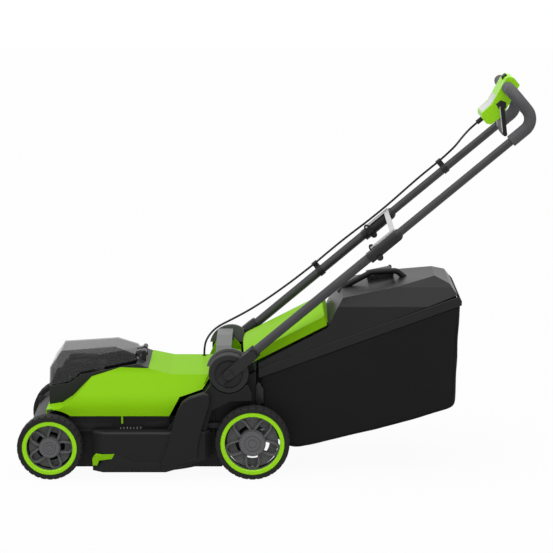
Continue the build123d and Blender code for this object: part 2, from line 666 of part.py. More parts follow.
outer_arc = flap_arc(flap_half, 0, flap_crown)
inner_arc = flap_arc(flap_half - wall, -wall, flap_crown)
flap_inner = flap_half - wall
edge_points = [(flap_half, 0), (flap_half, -flap_band), (flap_inner, -flap_band), (flap_inner, -wall)]
right_edge = Polyline(*[(0, y, z) for y, z in edge_points])
left_edge = Polyline(*[(0, -y, z) for y, z in edge_points])
flap = extrude(make_face([outer_arc, right_edge, inner_arc, left_edge]), amount=flap_length, dir=(1, 0, 0))
rear_lip = block(flap_length - wall, flap_length, -flap_half + 1, flap_half - 1, -flap_band + 6, 0)
flap += rear_lip
flap_corner_r = 14.0
corner_in = flap_corner_r - running_gap
corner_block = 40.0
for side in (-1, 1):
    near, far = sorted((side * (flap_half - corner_in), side * (flap_half - 1)))
    flap += block(flap_length - corner_in, flap_length - 1, near, far, -flap_band + 6, 0)
    for x, inward in ((0, 1), (flap_length, -1)):
        centre_x = x + inward * corner_in
        centre_y = side * (flap_half - corner_in)
        corner = Box(corner_block, corner_block, 2 * corner_block)
        corner = Pos(centre_x - inward * corner_block / 2, centre_y + side * corner_block / 2, 0) * corner
        flap -= corner - cyl_z(centre_x, centre_y, 2 * flap_corner_r, -corner_block, corner_block)
flap_pin = (9.0, -13.0)
flap_pin_d = 6.0
for y0, y1 in ((-125, -105), (105, 125)):
    flap += cyl_y(*flap_pin, 14, y0, y1) + block(flap_pin[0] - 5, flap_pin[0] + 5, y0, y1, flap_pin[1], 3)
flap -= cyl_y(*flap_pin, flap_pin_d + 2 * running_gap, -150, 150)
parts["rear_flap"] = flap_frame * flap
parts["flap_hinge_rod"] = flap_frame * cyl_y(*flap_pin, flap_pin_d, -146, 146)
bracket_face = [(-14, 258), (8, 258), (-2, 330), (-13, 330)]
bracket = side_prism(bracket_face, -146, -136)
parts["deck"] += bracket + mirrored(bracket)
parts["deck"] -= flap_frame * cyl_y(*flap_pin, flap_pin_d, -200, 200)


# Grass box: hard lid, rim with the mouth frame, fabric bag, carry handle and fill flap

seam_front = (16.0, 300.0)
seam_rear = (560.0, 499.6)
rim_depth = 28.0
seam_slope = (seam_rear[1] - seam_front[1]) / (seam_rear[0] - seam_front[0])


def seam_z_at(x, drop=0.0):
    """Height of the seam line at x, less drop."""
    return seam_front[1] + seam_slope * (x - seam_front[0]) - drop


lid_side = [
    seam_front, (16, 314), (206, 413), (228, 460), (247, 493), (502, 541), (541, 526), seam_rear,
]
box_section = [(box_half_width, 200), (box_half_width, 424), (157, 470), (132, 520), (60, 545)]


def box_lid_solid(skin):
    """The lid's outside, moved inwards by skin."""
    outline = inset(lid_side, skin) if skin else side_face(lid_side)
    body = extrude(Pos(0, -200, 0) * outline, amount=400, dir=(0, 1, 0))
    right = [(y - skin, z) for y, z in box_section]
    return body & front_prism(right + [(-y, z) for y, z in reversed(right)], 0, 600)


lid_inside = box_lid_solid(box_wall)
grass_lid = box_lid_solid(0.0) - lid_inside - Pos(0, 0, -2 * box_wall) * lid_inside
fill_hinge = (388.0, 531.0)
fill_pin_d = 5.0
for y0, y1 in ((14, 22), (114, 122)):
    grass_lid += block(fill_hinge[0] - 5, fill_hinge[0] + 5, y0, y1, 517, fill_hinge[1])
    grass_lid += cyl_y(*fill_hinge, 10, y0, y1)
grass_lid -= cyl_y(*fill_hinge, fill_pin_d + 2 * running_gap, 10, 130)
parts["grass_lid"] = grass_lid

box_front_x, box_rear_x = seam_front[0], 570.0
fit_gap = 0.3
rim_outline = [
    (box_front_x, seam_front[1] - fit_gap), (seam_rear[0], seam_rear[1] - fit_gap), (box_rear_x, 488),
    (box_rear_x, seam_z_at(box_rear_x, rim_depth)), (box_front_x, seam_z_at(box_front_x, rim_depth)),
]
rim = side_prism(rim_outline, -box_half_width - 2, box_half_width + 2)
rim_half = box_half_width - 1
parts["grass_rim"] = rim - block(box_front_x - 1, box_rear_x - 4, -rim_half, rim_half, 100, 600)

bag_front_x, bag_rear_x = box_front_x + 2, box_rear_x - 4
bag_drop = rim_depth + fit_gap
bag_outline = [
    (bag_front_x, seam_z_at(bag_front_x, bag_drop)), (bag_rear_x, seam_z_at(bag_rear_x, bag_drop)),
    (556, 190), (355, 125), (106, 68), (24, 150),
]
bag_section = [(box_half_width, 520), (box_half_width, 300), (159, 180), (151, 60)]


def bag_solid(skin):
    """The bag's outside, moved inwards by skin."""
    outline = inset(bag_outline, skin) if skin else side_face(bag_outline)
    body = extrude(Pos(0, -200, 0) * outline, amount=400, dir=(0, 1, 0))
    right = [(y - skin, z) for y, z in bag_section]
    return body & front_prism(right + [(-y, z) for y, z in reversed(right)], 0, 600)


bag_inside = bag_solid(box_wall)
bag = bag_solid(0.0) - bag_inside - Pos(0, 0, 4 * box_wall) * bag_inside
mouth = block(0, 60, -chute_half, chute_half, 152, 400)
parts["grass_bag"] = bag - mouth

carry_points = [(240, 0, 478), (262, 0, 500), (330, 0, 537), (400, 0, 541), (424, 0, 522)]
carry = tube(FilletPolyline(*carry_points, radius=18), 16)
parts["grass_handle"] = carry - box_lid_solid(0.0)

fill_flap = side_prism([(320, 511), (388, 524), (388, 535), (320, 521)], 23, 113)
parts["fill_flap"] = fill_flap + cyl_y(*fill_hinge, fill_pin_d, 14, 122)


# Everything moves to the middle of the overall box, and each piece is written out

tilt = radians(handle_angle)
bend_centre_x = pivot_x + (handle_reach - handle_bend_r) * cos(tilt) - handle_bend_r * sin(tilt)
rear_end_x = bend_centre_x + handle_bend_r + grip_d / 2
front_end_x = front_axle_x - front_wheel_d / 2
shift = -(front_end_x + rear_end_x) / 2

os.makedirs("parts", exist_ok=True)
for name, solid in parts.items():
    export_step(Pos(shift, 0, 0) * solid, f"parts/{name}.step")
print(f"{len(parts)} pieces, shift {shift:.2f} mm")
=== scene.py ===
"""Looks of a cordless push lawn mower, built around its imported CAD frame."""
from __future__ import annotations

import json
import logging
import math
from dataclasses import dataclass, field
from enum import Enum
from typing import Iterable, Sequence

import bmesh
import bpy
from mathutils import Matrix, Vector, noise

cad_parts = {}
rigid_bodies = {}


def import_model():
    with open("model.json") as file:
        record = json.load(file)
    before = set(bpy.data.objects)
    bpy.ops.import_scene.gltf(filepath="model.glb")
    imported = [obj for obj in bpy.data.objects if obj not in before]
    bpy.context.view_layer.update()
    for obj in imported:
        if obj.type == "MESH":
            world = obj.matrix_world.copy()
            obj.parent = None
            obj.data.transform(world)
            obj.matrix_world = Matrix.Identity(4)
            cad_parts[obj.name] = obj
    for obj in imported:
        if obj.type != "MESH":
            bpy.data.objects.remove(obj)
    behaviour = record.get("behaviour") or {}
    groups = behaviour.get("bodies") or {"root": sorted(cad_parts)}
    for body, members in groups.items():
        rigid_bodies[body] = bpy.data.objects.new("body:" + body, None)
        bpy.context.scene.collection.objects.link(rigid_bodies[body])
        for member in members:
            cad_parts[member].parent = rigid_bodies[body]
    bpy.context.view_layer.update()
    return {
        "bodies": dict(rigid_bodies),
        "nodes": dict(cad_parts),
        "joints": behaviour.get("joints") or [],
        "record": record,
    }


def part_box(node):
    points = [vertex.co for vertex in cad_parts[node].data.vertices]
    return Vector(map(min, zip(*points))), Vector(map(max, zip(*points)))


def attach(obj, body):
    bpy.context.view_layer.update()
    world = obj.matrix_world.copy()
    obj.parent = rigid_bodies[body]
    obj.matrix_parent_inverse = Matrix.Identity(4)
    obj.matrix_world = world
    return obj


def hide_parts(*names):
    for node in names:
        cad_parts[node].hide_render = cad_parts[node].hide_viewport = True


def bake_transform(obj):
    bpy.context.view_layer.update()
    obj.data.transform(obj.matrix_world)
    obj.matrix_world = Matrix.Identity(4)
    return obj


LOG = logging.getLogger("mower")
MM = 0.001
LOOK = "look_"
CLOTH_CHART = "cloth"
PHOTO_SIDE_PX = 553
SIDES = (("left", -1), ("right", 1))
WHITE = (1.0, 1.0, 1.0, 1.0)
WELD = 0.01 * MM
ON_PLANE = 1e-6
CUBE_END = 0.999
FLAT_DEG = 0.6
FINE_DETAIL = 3.0
BROAD_DETAIL = 4.0

Colour = tuple[float, float, float]
Point = tuple[float, float, float]
Span = tuple[float, float]
Outline = Sequence[tuple[float, float]]
Shape = bmesh.types.BMesh


def srgb(red: int, green: int, blue: int) -> Colour:
    """Turn display values from 0 to 255 into linear light.

    Args:
        red, green, blue: The display values.

    Returns:
        The linear colour.
    """
    def linear(value: int) -> float:
        """One channel in linear light."""
        share = value / 255
        return share / 12.92 if share <= 0.04045 else ((share + 0.055) / 1.055) ** 2.4

    return linear(red), linear(green), linear(blue)


def tinted(colour: Colour, factor: float) -> Colour:
    """A colour made darker or lighter, with no channel above 1."""
    return tuple(min(1.0, channel * factor) for channel in colour)


def on_side(side: int, span: Span) -> Span:
    """A span in Y on the left, -1, or the right, 1."""
    return side * span[0], side * span[1]


def rounded(shape: Shape, width_mm: float, segments: int = 2, hard_deg: float = 24.0) -> Shape:
    """Round the edges of a shape that turn more than hard_deg.

    Args:
        shape: The shape, which is changed.
        width_mm: The rounding in millimetres.
        segments: The facets across each rounding.
        hard_deg: The least turn that is rounded.

    Returns:
        The same shape.
    """
    limit = math.radians(hard_deg)
    inner = [edge for edge in shape.edges if len(edge.link_faces) == 2]
    hard = [edge for edge in inner if edge.calc_face_angle(0.0) > limit]
    bmesh.ops.bevel(shape, geom=hard, offset=width_mm * MM, offset_type="OFFSET", affect="EDGES",
                    segments=segments, profile=0.5, material=-1, clamp_overlap=True)
    return shape


def slab(outline: Sequence[Vector], push: Vector) -> Shape:
    """Push an outline into a solid.

    Args:
        outline: The corners in order.
        push: How far and which way the outline is carried.

    Returns:
        The solid.
    """
    shape = bmesh.new()
    face = shape.faces.new([shape.verts.new(point) for point in outline])
    grown = bmesh.ops.extrude_face_region(shape, geom=[face])
    moved = [item for item in grown["geom"] if isinstance(item, bmesh.types.BMVert)]
    bmesh.ops.translate(shape, verts=moved, vec=push)
    bmesh.ops.recalc_face_normals(shape, faces=shape.faces)
    return shape


def joined(shapes: Iterable[Shape]) -> Shape:
    """Put several shapes into one.

    Args:
        shapes: The shapes, which are freed.

    Returns:
        The one shape.
    """
    whole = bmesh.new()
    for shape in shapes:
        part = bpy.data.meshes.new("part")
        shape.to_mesh(part)
        shape.free()
        whole.from_mesh(part)
        bpy.data.meshes.remove(part)
    return whole


def lathe(profile: Outline, centre: Vector, steps: int = 64) -> Shape:
    """Spin a profile about a line along Y.

    Args:
        profile: Radius and offset along Y in millimetres.
        centre: A point on the line.
        steps: The facets round the turn.

    Returns:
        The turned shape.
    """
    shape = bmesh.new()
    verts = [shape.verts.new(centre + Vector((radius, offset, 0.0)) * MM) for radius, offset in profile]
    edges = [shape.edges.new(pair) for pair in zip(verts, verts[1:])]
    bmesh.ops.spin(shape, geom=verts + edges, cent=centre, axis=(0.0, 1.0, 0.0), angle=2 * math.pi,
                   steps=steps, use_merge=True)
    bmesh.ops.remove_doubles(shape, verts=shape.verts, dist=WELD)
    bmesh.ops.recalc_face_normals(shape, faces=shape.faces)
    return shape


def nurbs_line(points: Sequence[Vector], per_span: int = 8) -> list[Vector]:
    """Find points along a smooth line.

    Args:
        points: The points that guide the line.
        per_span: The points found between two guides.

    Returns:
        The points in order.
    """
    curve = bpy.data.curves.new("line", "CURVE")
    curve.dimensions = "3D"
    curve.resolution_u = per_span
    spline = curve.splines.new("NURBS")
    spline.points.add(len(points) - 1)
    for knot, point in zip(spline.points, points):
        knot.co = (*point, 1.0)
    spline.order_u = 3
    spline.use_endpoint_u = True
    holder = bpy.data.objects.new("line", curve)
    mesh = bpy.data.meshes.new_from_object(holder)
    line = [vert.co.copy() for vert in mesh.vertices]
    bpy.data.objects.remove(holder)
    bpy.data.curves.remove(curve)
    bpy.data.meshes.remove(mesh)
    return line


def pipe(line: Sequence[Vector], radius_mm: float, sides: int = 14) -> Shape:
    """Make a round bar along a line of points.

    Args:
        line: The points.
        radius_mm: The bar's radius in millimetres.
        sides: The facets round the bar.

    Returns:
        The bar, closed at both ends.
    """
    shape = bmesh.new()
    rings = []
    lean = None
    for index, point in enumerate(line):
        ahead = (line[min(index + 1, len(line) - 1)] - line[max(index - 1, 0)]).normalized()
        lean = ahead.orthogonal() if lean is None else lean - ahead * lean.dot(ahead)
        lean.normalize()
        across = ahead.cross(lean)
        turns = [2 * math.pi * step / sides for step in range(sides)]
        offsets = [(lean * math.cos(turn) + across * math.sin(turn)) * radius_mm * MM for turn in turns]
        rings.append([shape.verts.new(point + offset) for offset in offsets])
    for first, second in zip(rings, rings[1:]):
        for k in range(sides):
            shape.faces.new((first[k - 1], first[k], second[k], second[k - 1]))
    shape.faces.new(rings[0][::-1])
    shape.faces.new(rings[-1])
    bmesh.ops.recalc_face_normals(shape, faces=shape.faces)
    return shape


def refined(shape: Shape, levels: int) -> Shape:
    """Subdivide a shape smoothly.

    Args:
        shape: The coarse shape, which is freed.
        levels: How often each face is divided.

    Returns:
        The fine shape.
    """
    mesh = bpy.data.meshes.new("coarse")
    shape.to_mesh(mesh)
    shape.free()
    holder = bpy.data.objects.new("coarse", mesh)
    bpy.context.scene.collection.objects.link(holder)
    smooth = holder.modifiers.new("smooth", "SUBSURF")
    smooth.levels = levels
    smooth.render_levels = levels
    depsgraph = bpy.context.evaluated_depsgraph_get()
    fine = bpy.data.meshes.new_from_object(holder.evaluated_get(depsgraph))
    bpy.data.objects.remove(holder)
    bpy.data.meshes.remove(mesh)
    result = bmesh.new()
    result.from_mesh(fine)
    bpy.data.meshes.remove(fine)
    return result


class Wire:
    """A node's output, with operators that add Math nodes."""

    def __init__(self, graph: "Graph", socket: bpy.types.NodeSocket) -> None:
        """Keep the socket and the graph that it is in."""
        self.graph = graph
        self.socket = socket

    def maths(self, operation: str, *others: "Wire | float", flip: bool = False) -> "Wire":
        """Add a Math node.

        Args:
            operation: The node's operation.
            others: The further operands.
            flip: Whether this wire comes second.

        Returns:
            The result.
        """
        operands = [self, *others]
        if flip:
            operands.reverse()
        inputs = {index: operand for index, operand in enumerate(operands)}
        return self.graph.add("ShaderNodeMath", {"operation": operation}, inputs)

    def __add__(self, other: "Wire | float") -> "Wire":
        """Sum."""
        return self.maths("ADD", other)

    __radd__ = __add__

    def __mul__(self, other: "Wire | float") -> "Wire":
        """Product."""
        return self.maths("MULTIPLY", other)

    __rmul__ = __mul__

    def __sub__(self, other: "Wire | float") -> "Wire":
        """Difference."""
        return self.maths("SUBTRACT", other)

    def __rsub__(self, other: "Wire | float") -> "Wire":
        """Reflected difference."""
        return self.maths("SUBTRACT", other, flip=True)

    def sine(self) -> "Wire":
        """Sine of the value in radians."""
        return self.maths("SINE")

    def sibling(self, output: str) -> "Wire":
        """Another output of the same node."""
        return Wire(self.graph, self.socket.node.outputs[output])


class Graph:
    """The node tree of a material or a world, built one node at a time."""

    def __init__(self, owner: bpy.types.Material | bpy.types.World) -> None:
        """Start with an empty tree.

        Args:
            owner: The material or world.
        """
        self.owner = owner
        owner.use_nodes = True
        self.tree = owner.node_tree
        self.tree.nodes.clear()

    @classmethod
    def of_material(cls, name: str) -> "Graph":
        """The graph of a new material."""
        return cls(bpy.data.materials.new(LOOK + name))

    def node(self, kind: str, settings: dict, inputs: dict) -> bpy.types.Node:
        """Add a node.

        Args:
            kind: The node's type.
            settings: Attributes that are set first.
            inputs: Values or wires by socket name or number.

        Returns:
            The new node.
        """
        node = self.tree.nodes.new(kind)
        for key, value in settings.items():
            setattr(node, key, value)
        for key, value in inputs.items():
            target = node.inputs[key]
            if isinstance(value, Wire):
                self.tree.links.new(value.socket, target)
            else:
                target.default_value = value
        return node

    def add(self, kind: str, settings: dict, inputs: dict, output: int | str = 0) -> Wire:
        """Add a node and take one of its outputs.

        Args:
            kind: The node's type.
            settings: Attributes that are set first.
            inputs: Values or wires by socket name or number.
            output: The socket that is returned.

        Returns:
            The chosen output.
        """
        return Wire(self, self.node(kind, settings, inputs).outputs[output])

    def coordinates(self, stretch: Point = (1.0, 1.0, 1.0)) -> Wire:
        """Object coordinates, stretched along each axis."""
        place = self.add("ShaderNodeTexCoord", {}, {}, "Object")
        return self.add("ShaderNodeMapping", {}, {"Vector": place, "Scale": stretch})

    def noise(self, place: Wire, scale: float, detail: float = 2.0) -> Wire:
        """Noise from 0 to 1 with the given scale per metre."""
        inputs = {"Vector": place, "Scale": scale, "Detail": detail}
        return self.add("ShaderNodeTexNoise", {}, inputs, "Fac")

    def blend(self, share: Wire, first: Colour, second: Colour) -> Wire:
        """A colour between two, by share."""
        inputs = {"Factor": share, 6: (*first, 1.0), 7: (*second, 1.0)}
        return self.add("ShaderNodeMix", {"data_type": "RGBA"}, inputs, 2)

    def mottled(self, share: Wire, colour: Colour, low: float, high: float) -> Wire:
        """A colour that goes from low to high times its strength, by share."""
        return self.blend(share, tinted(colour, low), tinted(colour, high))

    def bump(self, height: Wire, depth: float, strength: float) -> Wire:
        """A normal bent by a height, with the depth in metres."""
        return self.add("ShaderNodeBump", {}, {"Height": height, "Distance": depth, "Strength": strength})

    def surface(self, inputs: dict) -> bpy.types.Material:
        """End the material in a Principled shader.

        Args:
            inputs: The shader's sockets.

        Returns:
            The finished material.
        """
        shader = self.add("ShaderNodeBsdfPrincipled", {}, inputs, "BSDF")
        self.node("ShaderNodeOutputMaterial", {}, {"Surface": shader})
        return self.owner


@dataclass(frozen=True)
class Moulded:
    """Injection-moulded plastic or rubber with a fine grain and faint mottling."""

    name: str
    colour: Colour
    roughness: float = 0.5
    grain_per_m: float = 1400.0
    grain_depth: float = 0.00012
    mottle: float = 0.14
    coat: float = 0.0
    specular: float = 0.5
    alpha: float = 1.0
    coat_roughness: float = 0.08
    broad_per_m: float = 9.0
    fine_per_m: float = 160.0
    fine_share: float = 0.3
    rough_drop: float = 0.06
    rough_broad: float = 0.08
    rough_fine: float = 0.05
    bump_strength: float = 0.5

    def material(self) -> bpy.types.Material:
        """Build the material."""
        graph = Graph.of_material(self.name)
        place = graph.coordinates()
        grain = graph.noise(place, self.grain_per_m, FINE_DETAIL)
        broad = graph.noise(place, self.broad_per_m, BROAD_DETAIL)
        fine = graph.noise(place, self.fine_per_m, FINE_DETAIL)
        share = broad * (1 - self.fine_share) + fine * self.fine_share
        sheen = broad * self.rough_broad + fine * self.rough_fine
        inputs = {
            "Base Color": graph.mottled(share, self.colour, 1 - self.mottle, 1 + self.mottle),
            "Roughness": self.roughness - self.rough_drop + sheen,
            "Normal": graph.bump(grain, self.grain_depth, self.bump_strength),
            "Coat Weight": self.coat,
            "Coat Roughness": self.coat_roughness,
            "Specular IOR Level": self.specular,
            "Alpha": self.alpha,
        }
        return graph.surface(inputs)


@dataclass(frozen=True)
class Metal:
    """Bare or painted metal with drawn lines along one axis."""

    name: str
    colour: Colour
    metallic: float
    roughness: float
    stretch: Point = (40.0, 900.0, 900.0)
    line_depth: float = 0.00006
    specular: float = 0.3
    broad_per_m: float = 14.0
    shades: Span = (0.82, 1.14)
    rough_drop: float = 0.08
    rough_lines: float = 0.1
    rough_broad: float = 0.06
    bump_strength: float = 0.6

    def material(self) -> bpy.types.Material:
        """Build the material."""
        graph = Graph.of_material(self.name)
        lines = graph.noise(graph.coordinates(self.stretch), 1.0, BROAD_DETAIL)
        broad = graph.noise(graph.coordinates(), self.broad_per_m, BROAD_DETAIL)
        sheen = lines * self.rough_lines + broad * self.rough_broad
        inputs = {
            "Base Color": graph.mottled(broad, self.colour, *self.shades),
            "Roughness": self.roughness - self.rough_drop + sheen,
            "Metallic": self.metallic,
            "Normal": graph.bump(lines, self.line_depth, self.bump_strength),
            "Specular IOR Level": self.specular,
        }
        return graph.surface(inputs)


@dataclass(frozen=True)
class Weave:
    """Plain woven cloth that follows the piece's own UV map, in metres."""

    name: str
    colour: Colour
    pitch: float = 0.0016
    roughness: float = 0.86
    thread_sheen: float = 0.1
    specular: float = 0.12
    broad_per_m: float = 7.0
    slub_stretch: Point = (60.0, 60.0, 900.0)
    shades: Span = (0.72, 1.35)
    thread_share: float = 0.35
    broad_share: float = 0.4
    slub_share: float = 0.25
    slub_height: float = 0.4
    thread_depth: float = 0.0003
    bump_strength: float = 0.6

    def material(self) -> bpy.types.Material:
        """Build the material."""
        graph = Graph.of_material(self.name)
        chart = graph.add("ShaderNodeUVMap", {"uv_map": CLOTH_CHART}, {})
        across = graph.add("ShaderNodeSeparateXYZ", {}, {"Vector": chart}, "X")
        along = across.sibling("Y")
        turn = 2 * math.pi / self.pitch
        warp = (across * turn).sine()
        weft = (along * turn).sine()
        threads = (warp * weft) * 0.5 + 0.5
        broad = graph.noise(graph.coordinates(), self.broad_per_m, BROAD_DETAIL)
        slub = graph.noise(graph.coordinates(self.slub_stretch), 1.0)
        share = threads * self.thread_share + broad * self.broad_share + slub * self.slub_share
        height = threads + slub * self.slub_height
        inputs = {
            "Base Color": graph.mottled(share, self.colour, *self.shades),
            "Roughness": self.roughness - threads * self.thread_sheen,
            "Normal": graph.bump(height, self.thread_depth, self.bump_strength),
            "Specular IOR Level": self.specular,
        }
        return graph.surface(inputs)


@dataclass(frozen=True)
class Foam:
    """Closed-cell foam or soft rubber with a pitted skin."""

    name: str
    colour: Colour
    roughness: float = 0.62
    rough_broad: float = 0.12
    specular: float = 0.25
    cells_per_m: float = 700.0
    cell_share: float = 0.4
    cell_depth: float = 0.0002
    broad_per_m: float = 20.0
    shades: Span = (0.78, 1.2)
    bump_strength: float = 0.5

    def material(self) -> bpy.types.Material:
        """Build the material."""
        graph = Graph.of_material(self.name)
        place = graph.coordinates()
        pits = {"Vector": place, "Scale": self.cells_per_m}
        cells = graph.add("ShaderNodeTexVoronoi", {}, pits, "Distance")
        broad = graph.noise(place, self.broad_per_m, BROAD_DETAIL)
        share = broad * (1 - self.cell_share) + cells * self.cell_share
        inputs = {
            "Base Color": graph.mottled(share, self.colour, *self.shades),
            "Roughness": self.roughness + broad * self.rough_broad,
            "Normal": graph.bump(cells, self.cell_depth, self.bump_strength),
            "Specular IOR Level": self.specular,
        }
        return graph.surface(inputs)


class Finish(Enum):
    """Every finish on the mower."""

    GREEN = Moulded("green_plastic", srgb(120, 175, 12), 0.42,
                    grain_per_m=1500.0, grain_depth=0.00004, mottle=0.05, specular=0.04)
    RING = Moulded("ring_green", srgb(146, 212, 10), 0.38,
                   grain_per_m=1500.0, grain_depth=0.00004, mottle=0.05, coat=0.05, specular=0.2)
    BLACK = Moulded("deck_black", srgb(25, 25, 26), 0.45,
                    grain_per_m=1100.0, grain_depth=0.00012, mottle=0.14, specular=0.14)
    LID = Moulded("box_lid_grey", srgb(20, 20, 21), 0.36,
                  grain_per_m=1100.0, grain_depth=0.0001, mottle=0.14, specular=0.22)
    HUB = Moulded("hub_grey", srgb(86, 86, 88), 0.5,
                  grain_per_m=1300.0, grain_depth=0.0001, mottle=0.1, specular=0.3)
    STRAP = Moulded("strap_grey", srgb(86, 88, 86), 0.42,
                    grain_per_m=1300.0, grain_depth=0.00008, mottle=0.08, specular=0.3)
    DARK = Moulded("dark_plastic", srgb(28, 28, 29), 0.45,
                   grain_per_m=1200.0, grain_depth=0.0001, mottle=0.14, specular=0.25)
    TYRE = Moulded("tyre_rubber", srgb(33, 33, 33), 0.75,
                   grain_per_m=700.0, grain_depth=0.0002, mottle=0.14, specular=0.15)
    SMOKED = Moulded("smoked_lid", srgb(20, 20, 22), 0.08,
                     grain_per_m=300.0, grain_depth=0.0, mottle=0.04, coat=0.5, specular=0.12, alpha=0.5)
    PACK = Moulded("pack_plastic", srgb(30, 30, 31), 0.5,
                   grain_per_m=1200.0, grain_depth=0.0001, mottle=0.12, specular=0.25)
    KEY = Moulded("key_red", srgb(172, 24, 20), 0.4)
    LABEL = Moulded("label_grey", srgb(196, 196, 199), 0.4,
                    grain_per_m=900.0, grain_depth=0.00003, mottle=0.06)
    JACKET = Moulded("cable_jacket", srgb(16, 16, 16), 0.5,
                     grain_per_m=1600.0, grain_depth=0.00006, mottle=0.1, specular=0.25)
    TUBE = Metal("tube_paint", srgb(56, 56, 58), metallic=0.1, roughness=0.42,
                 stretch=(700.0, 700.0, 700.0), line_depth=0.00005)
    STEEL = Metal("bright_steel", srgb(196, 196, 196), metallic=1.0, roughness=0.3)
    COATED = Metal("coated_steel", srgb(44, 44, 46), metallic=0.4, roughness=0.5)
    FOAM = Foam("grip_foam", srgb(75, 75, 77))
    CLOTH = Weave("bag_cloth", srgb(22, 22, 23))
    CLOTH_EDGE = Moulded("bag_edge", srgb(18, 18, 19), 0.8,
                         grain_per_m=900.0, grain_depth=0.0002, mottle=0.1, specular=0.15)

    def slot(self) -> bpy.types.Material:
        """The finish's material, made on first use."""
        found = bpy.data.materials.get(LOOK + self.value.name)
        return found or self.value.material()


@dataclass
class Datum:
    """Turns millimetres from the rear axle into the shared frame."""

    axle_x: float = field(init=False)
    pivot: Vector = field(init=False)
    handle_angle: float = math.radians(40.0)

    def __post_init__(self) -> None:
        """Read the rear axle and the fold axis off the frame."""
        low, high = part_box("rear_left_tyre")
        self.axle_x = (low.x + high.x) / 2
        low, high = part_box("pivot_bolts")
        self.pivot = Vector(((low.x + high.x) / 2, 0.0, (low.z + high.z) / 2))

    def at(self, x: float, y: float, z: float) -> Vector:
        """A point from millimetres behind the rear axle, to the right and above the ground."""
        return Vector((self.axle_x + x * MM, y * MM, z * MM))

    def on_handle(self, along: float, y: float, out: float) -> Vector:
        """Find a point on the handle.

        Args:
            along: Millimetres from the fold axis along the tubes.
            y: Millimetres to the right.
            out: Millimetres square to the tubes.

        Returns:
            The point in the shared frame.
        """
        run = Vector((math.cos(self.handle_angle), 0.0, math.sin(self.handle_angle)))
        rise = Vector((-run.z, 0.0, run.x))
        return self.pivot + (run * along + rise * out) * MM + Vector((0.0, y * MM, 0.0))


class Bench:
    """Makes finished pieces, hangs them on the frame's bodies and looks up which body each node is in."""

    def __init__(self, frame: dict) -> None:
        """Keep the frame and look up which body each node is in.

        Args:
            frame: What the frame's loader gives.
        """
        self.frame = frame
        self.datum = Datum()
        self.body_of: dict[str, str] = {}
        for body, nodes in frame["record"]["behaviour"]["bodies"].items():
            for node in nodes:
                self.body_of[node] = body

    def paint(self, finish: Finish, *nodes: str) -> None:
        """Give CAD nodes a finish.

        Args:
            finish: The finish.
            nodes: The nodes' names.
        """
        for node in nodes:
            mesh = self.frame["nodes"][node].data
            mesh.materials.clear()
            mesh.materials.append(finish.slot())

    def piece(self, shape: Shape, name: str, finish: Finish, body: str = "",
              stands_for: Sequence[str] = (), smooth_deg: float = 32.0) -> bpy.types.Object:
        """Turn a shape into a piece of the mower.

        Args:
            shape: The shape, which is freed.
            name: The piece's name.
            finish: Its finish.
            body: The body that it rides on, or empty where it rides on none.
            stands_for: The CAD nodes that it replaces.
            smooth_deg: Edges sharper than this stay sharp.

        Returns:
            The new object.
        """
        mesh = bpy.data.meshes.new(name)
        shape.to_mesh(mesh)
        shape.free()
        mesh.shade_smooth()
        mesh.set_sharp_from_angle(angle=math.radians(smooth_deg))
        mesh.materials.append(finish.slot())
        obj = bpy.data.objects.new(name, mesh)
        bpy.context.scene.collection.objects.link(obj)
        if stands_for:
            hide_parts(*stands_for)
        if body:
            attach(obj, body)
        LOG.info("%s: %d faces", name, len(mesh.polygons))
        return obj

    def block(self, x: Span, y: Span, z: Span) -> Shape:
        """A box between two corners, in millimetres from the rear axle."""
        return self.side_plate([(x[0], z[0]), (x[1], z[0]), (x[1], z[1]), (x[0], z[1])], y)

    def side_plate(self, outline: Outline, y: Span) -> Shape:
        """An outline in X and Z, carried across Y, in millimetres from the rear axle."""
        points = [self.datum.at(x, y[0], z) for x, z in outline]
        return slab(points, Vector((0.0, (y[1] - y[0]) * MM, 0.0)))

    def handle_plate(self, outline: Outline, y: Span) -> Shape:
        """An outline along and square to the handle, carried across Y, in millimetres."""
        points = [self.datum.on_handle(along, y[0], out) for along, out in outline]
        return slab(points, Vector((0.0, (y[1] - y[0]) * MM, 0.0)))

    def softened(self, node: str, finish: Finish, width: float, segments: int = 3,
                 hard_deg: float = 24.0) -> bpy.types.Object:
        """A copy of a CAD node with rounded edges, which stands for the node.

        Args:
            node: The CAD node.
            finish: The copy's finish.
            width: The rounding in millimetres.
            segments: The facets across each rounding.
            hard_deg: Edges that turn more than this are rounded.

        Returns:
            The new object.
        """
        shape = bmesh.new()
        shape.from_mesh(self.frame["nodes"][node].data)
        bmesh.ops.remove_doubles(shape, verts=shape.verts, dist=WELD)
        flat = math.radians(FLAT_DEG)
        bmesh.ops.dissolve_limit(shape, angle_limit=flat, verts=shape.verts, edges=shape.edges)
        rounded(shape, width, segments, hard_deg)
        shell = self.piece(shape, node + "_shell", finish, self.body_of[node], [node])
        even = shell.modifiers.new("even_shading", "WEIGHTED_NORMAL")
        even.keep_sharp = True
        return shell


@dataclass(frozen=True)
class SoftLight:
    """A square soft light that faces a target, in metres and watts."""

    name: str
    place: Point
    target: Point
    side: float
    watts: float

    def build(self) -> None:
        """Hang the light."""
        lamp = bpy.data.lights.new(self.name, "AREA")
        lamp.size = self.side
        lamp.energy = self.watts
        holder = bpy.data.objects.new(self.name, lamp)
        holder.location = self.place
        aim = Vector(self.target) - Vector(self.place)
        holder.rotation_euler = aim.to_track_quat("-Z", "Y").to_euler()
        bpy.context.scene.collection.objects.link(holder)


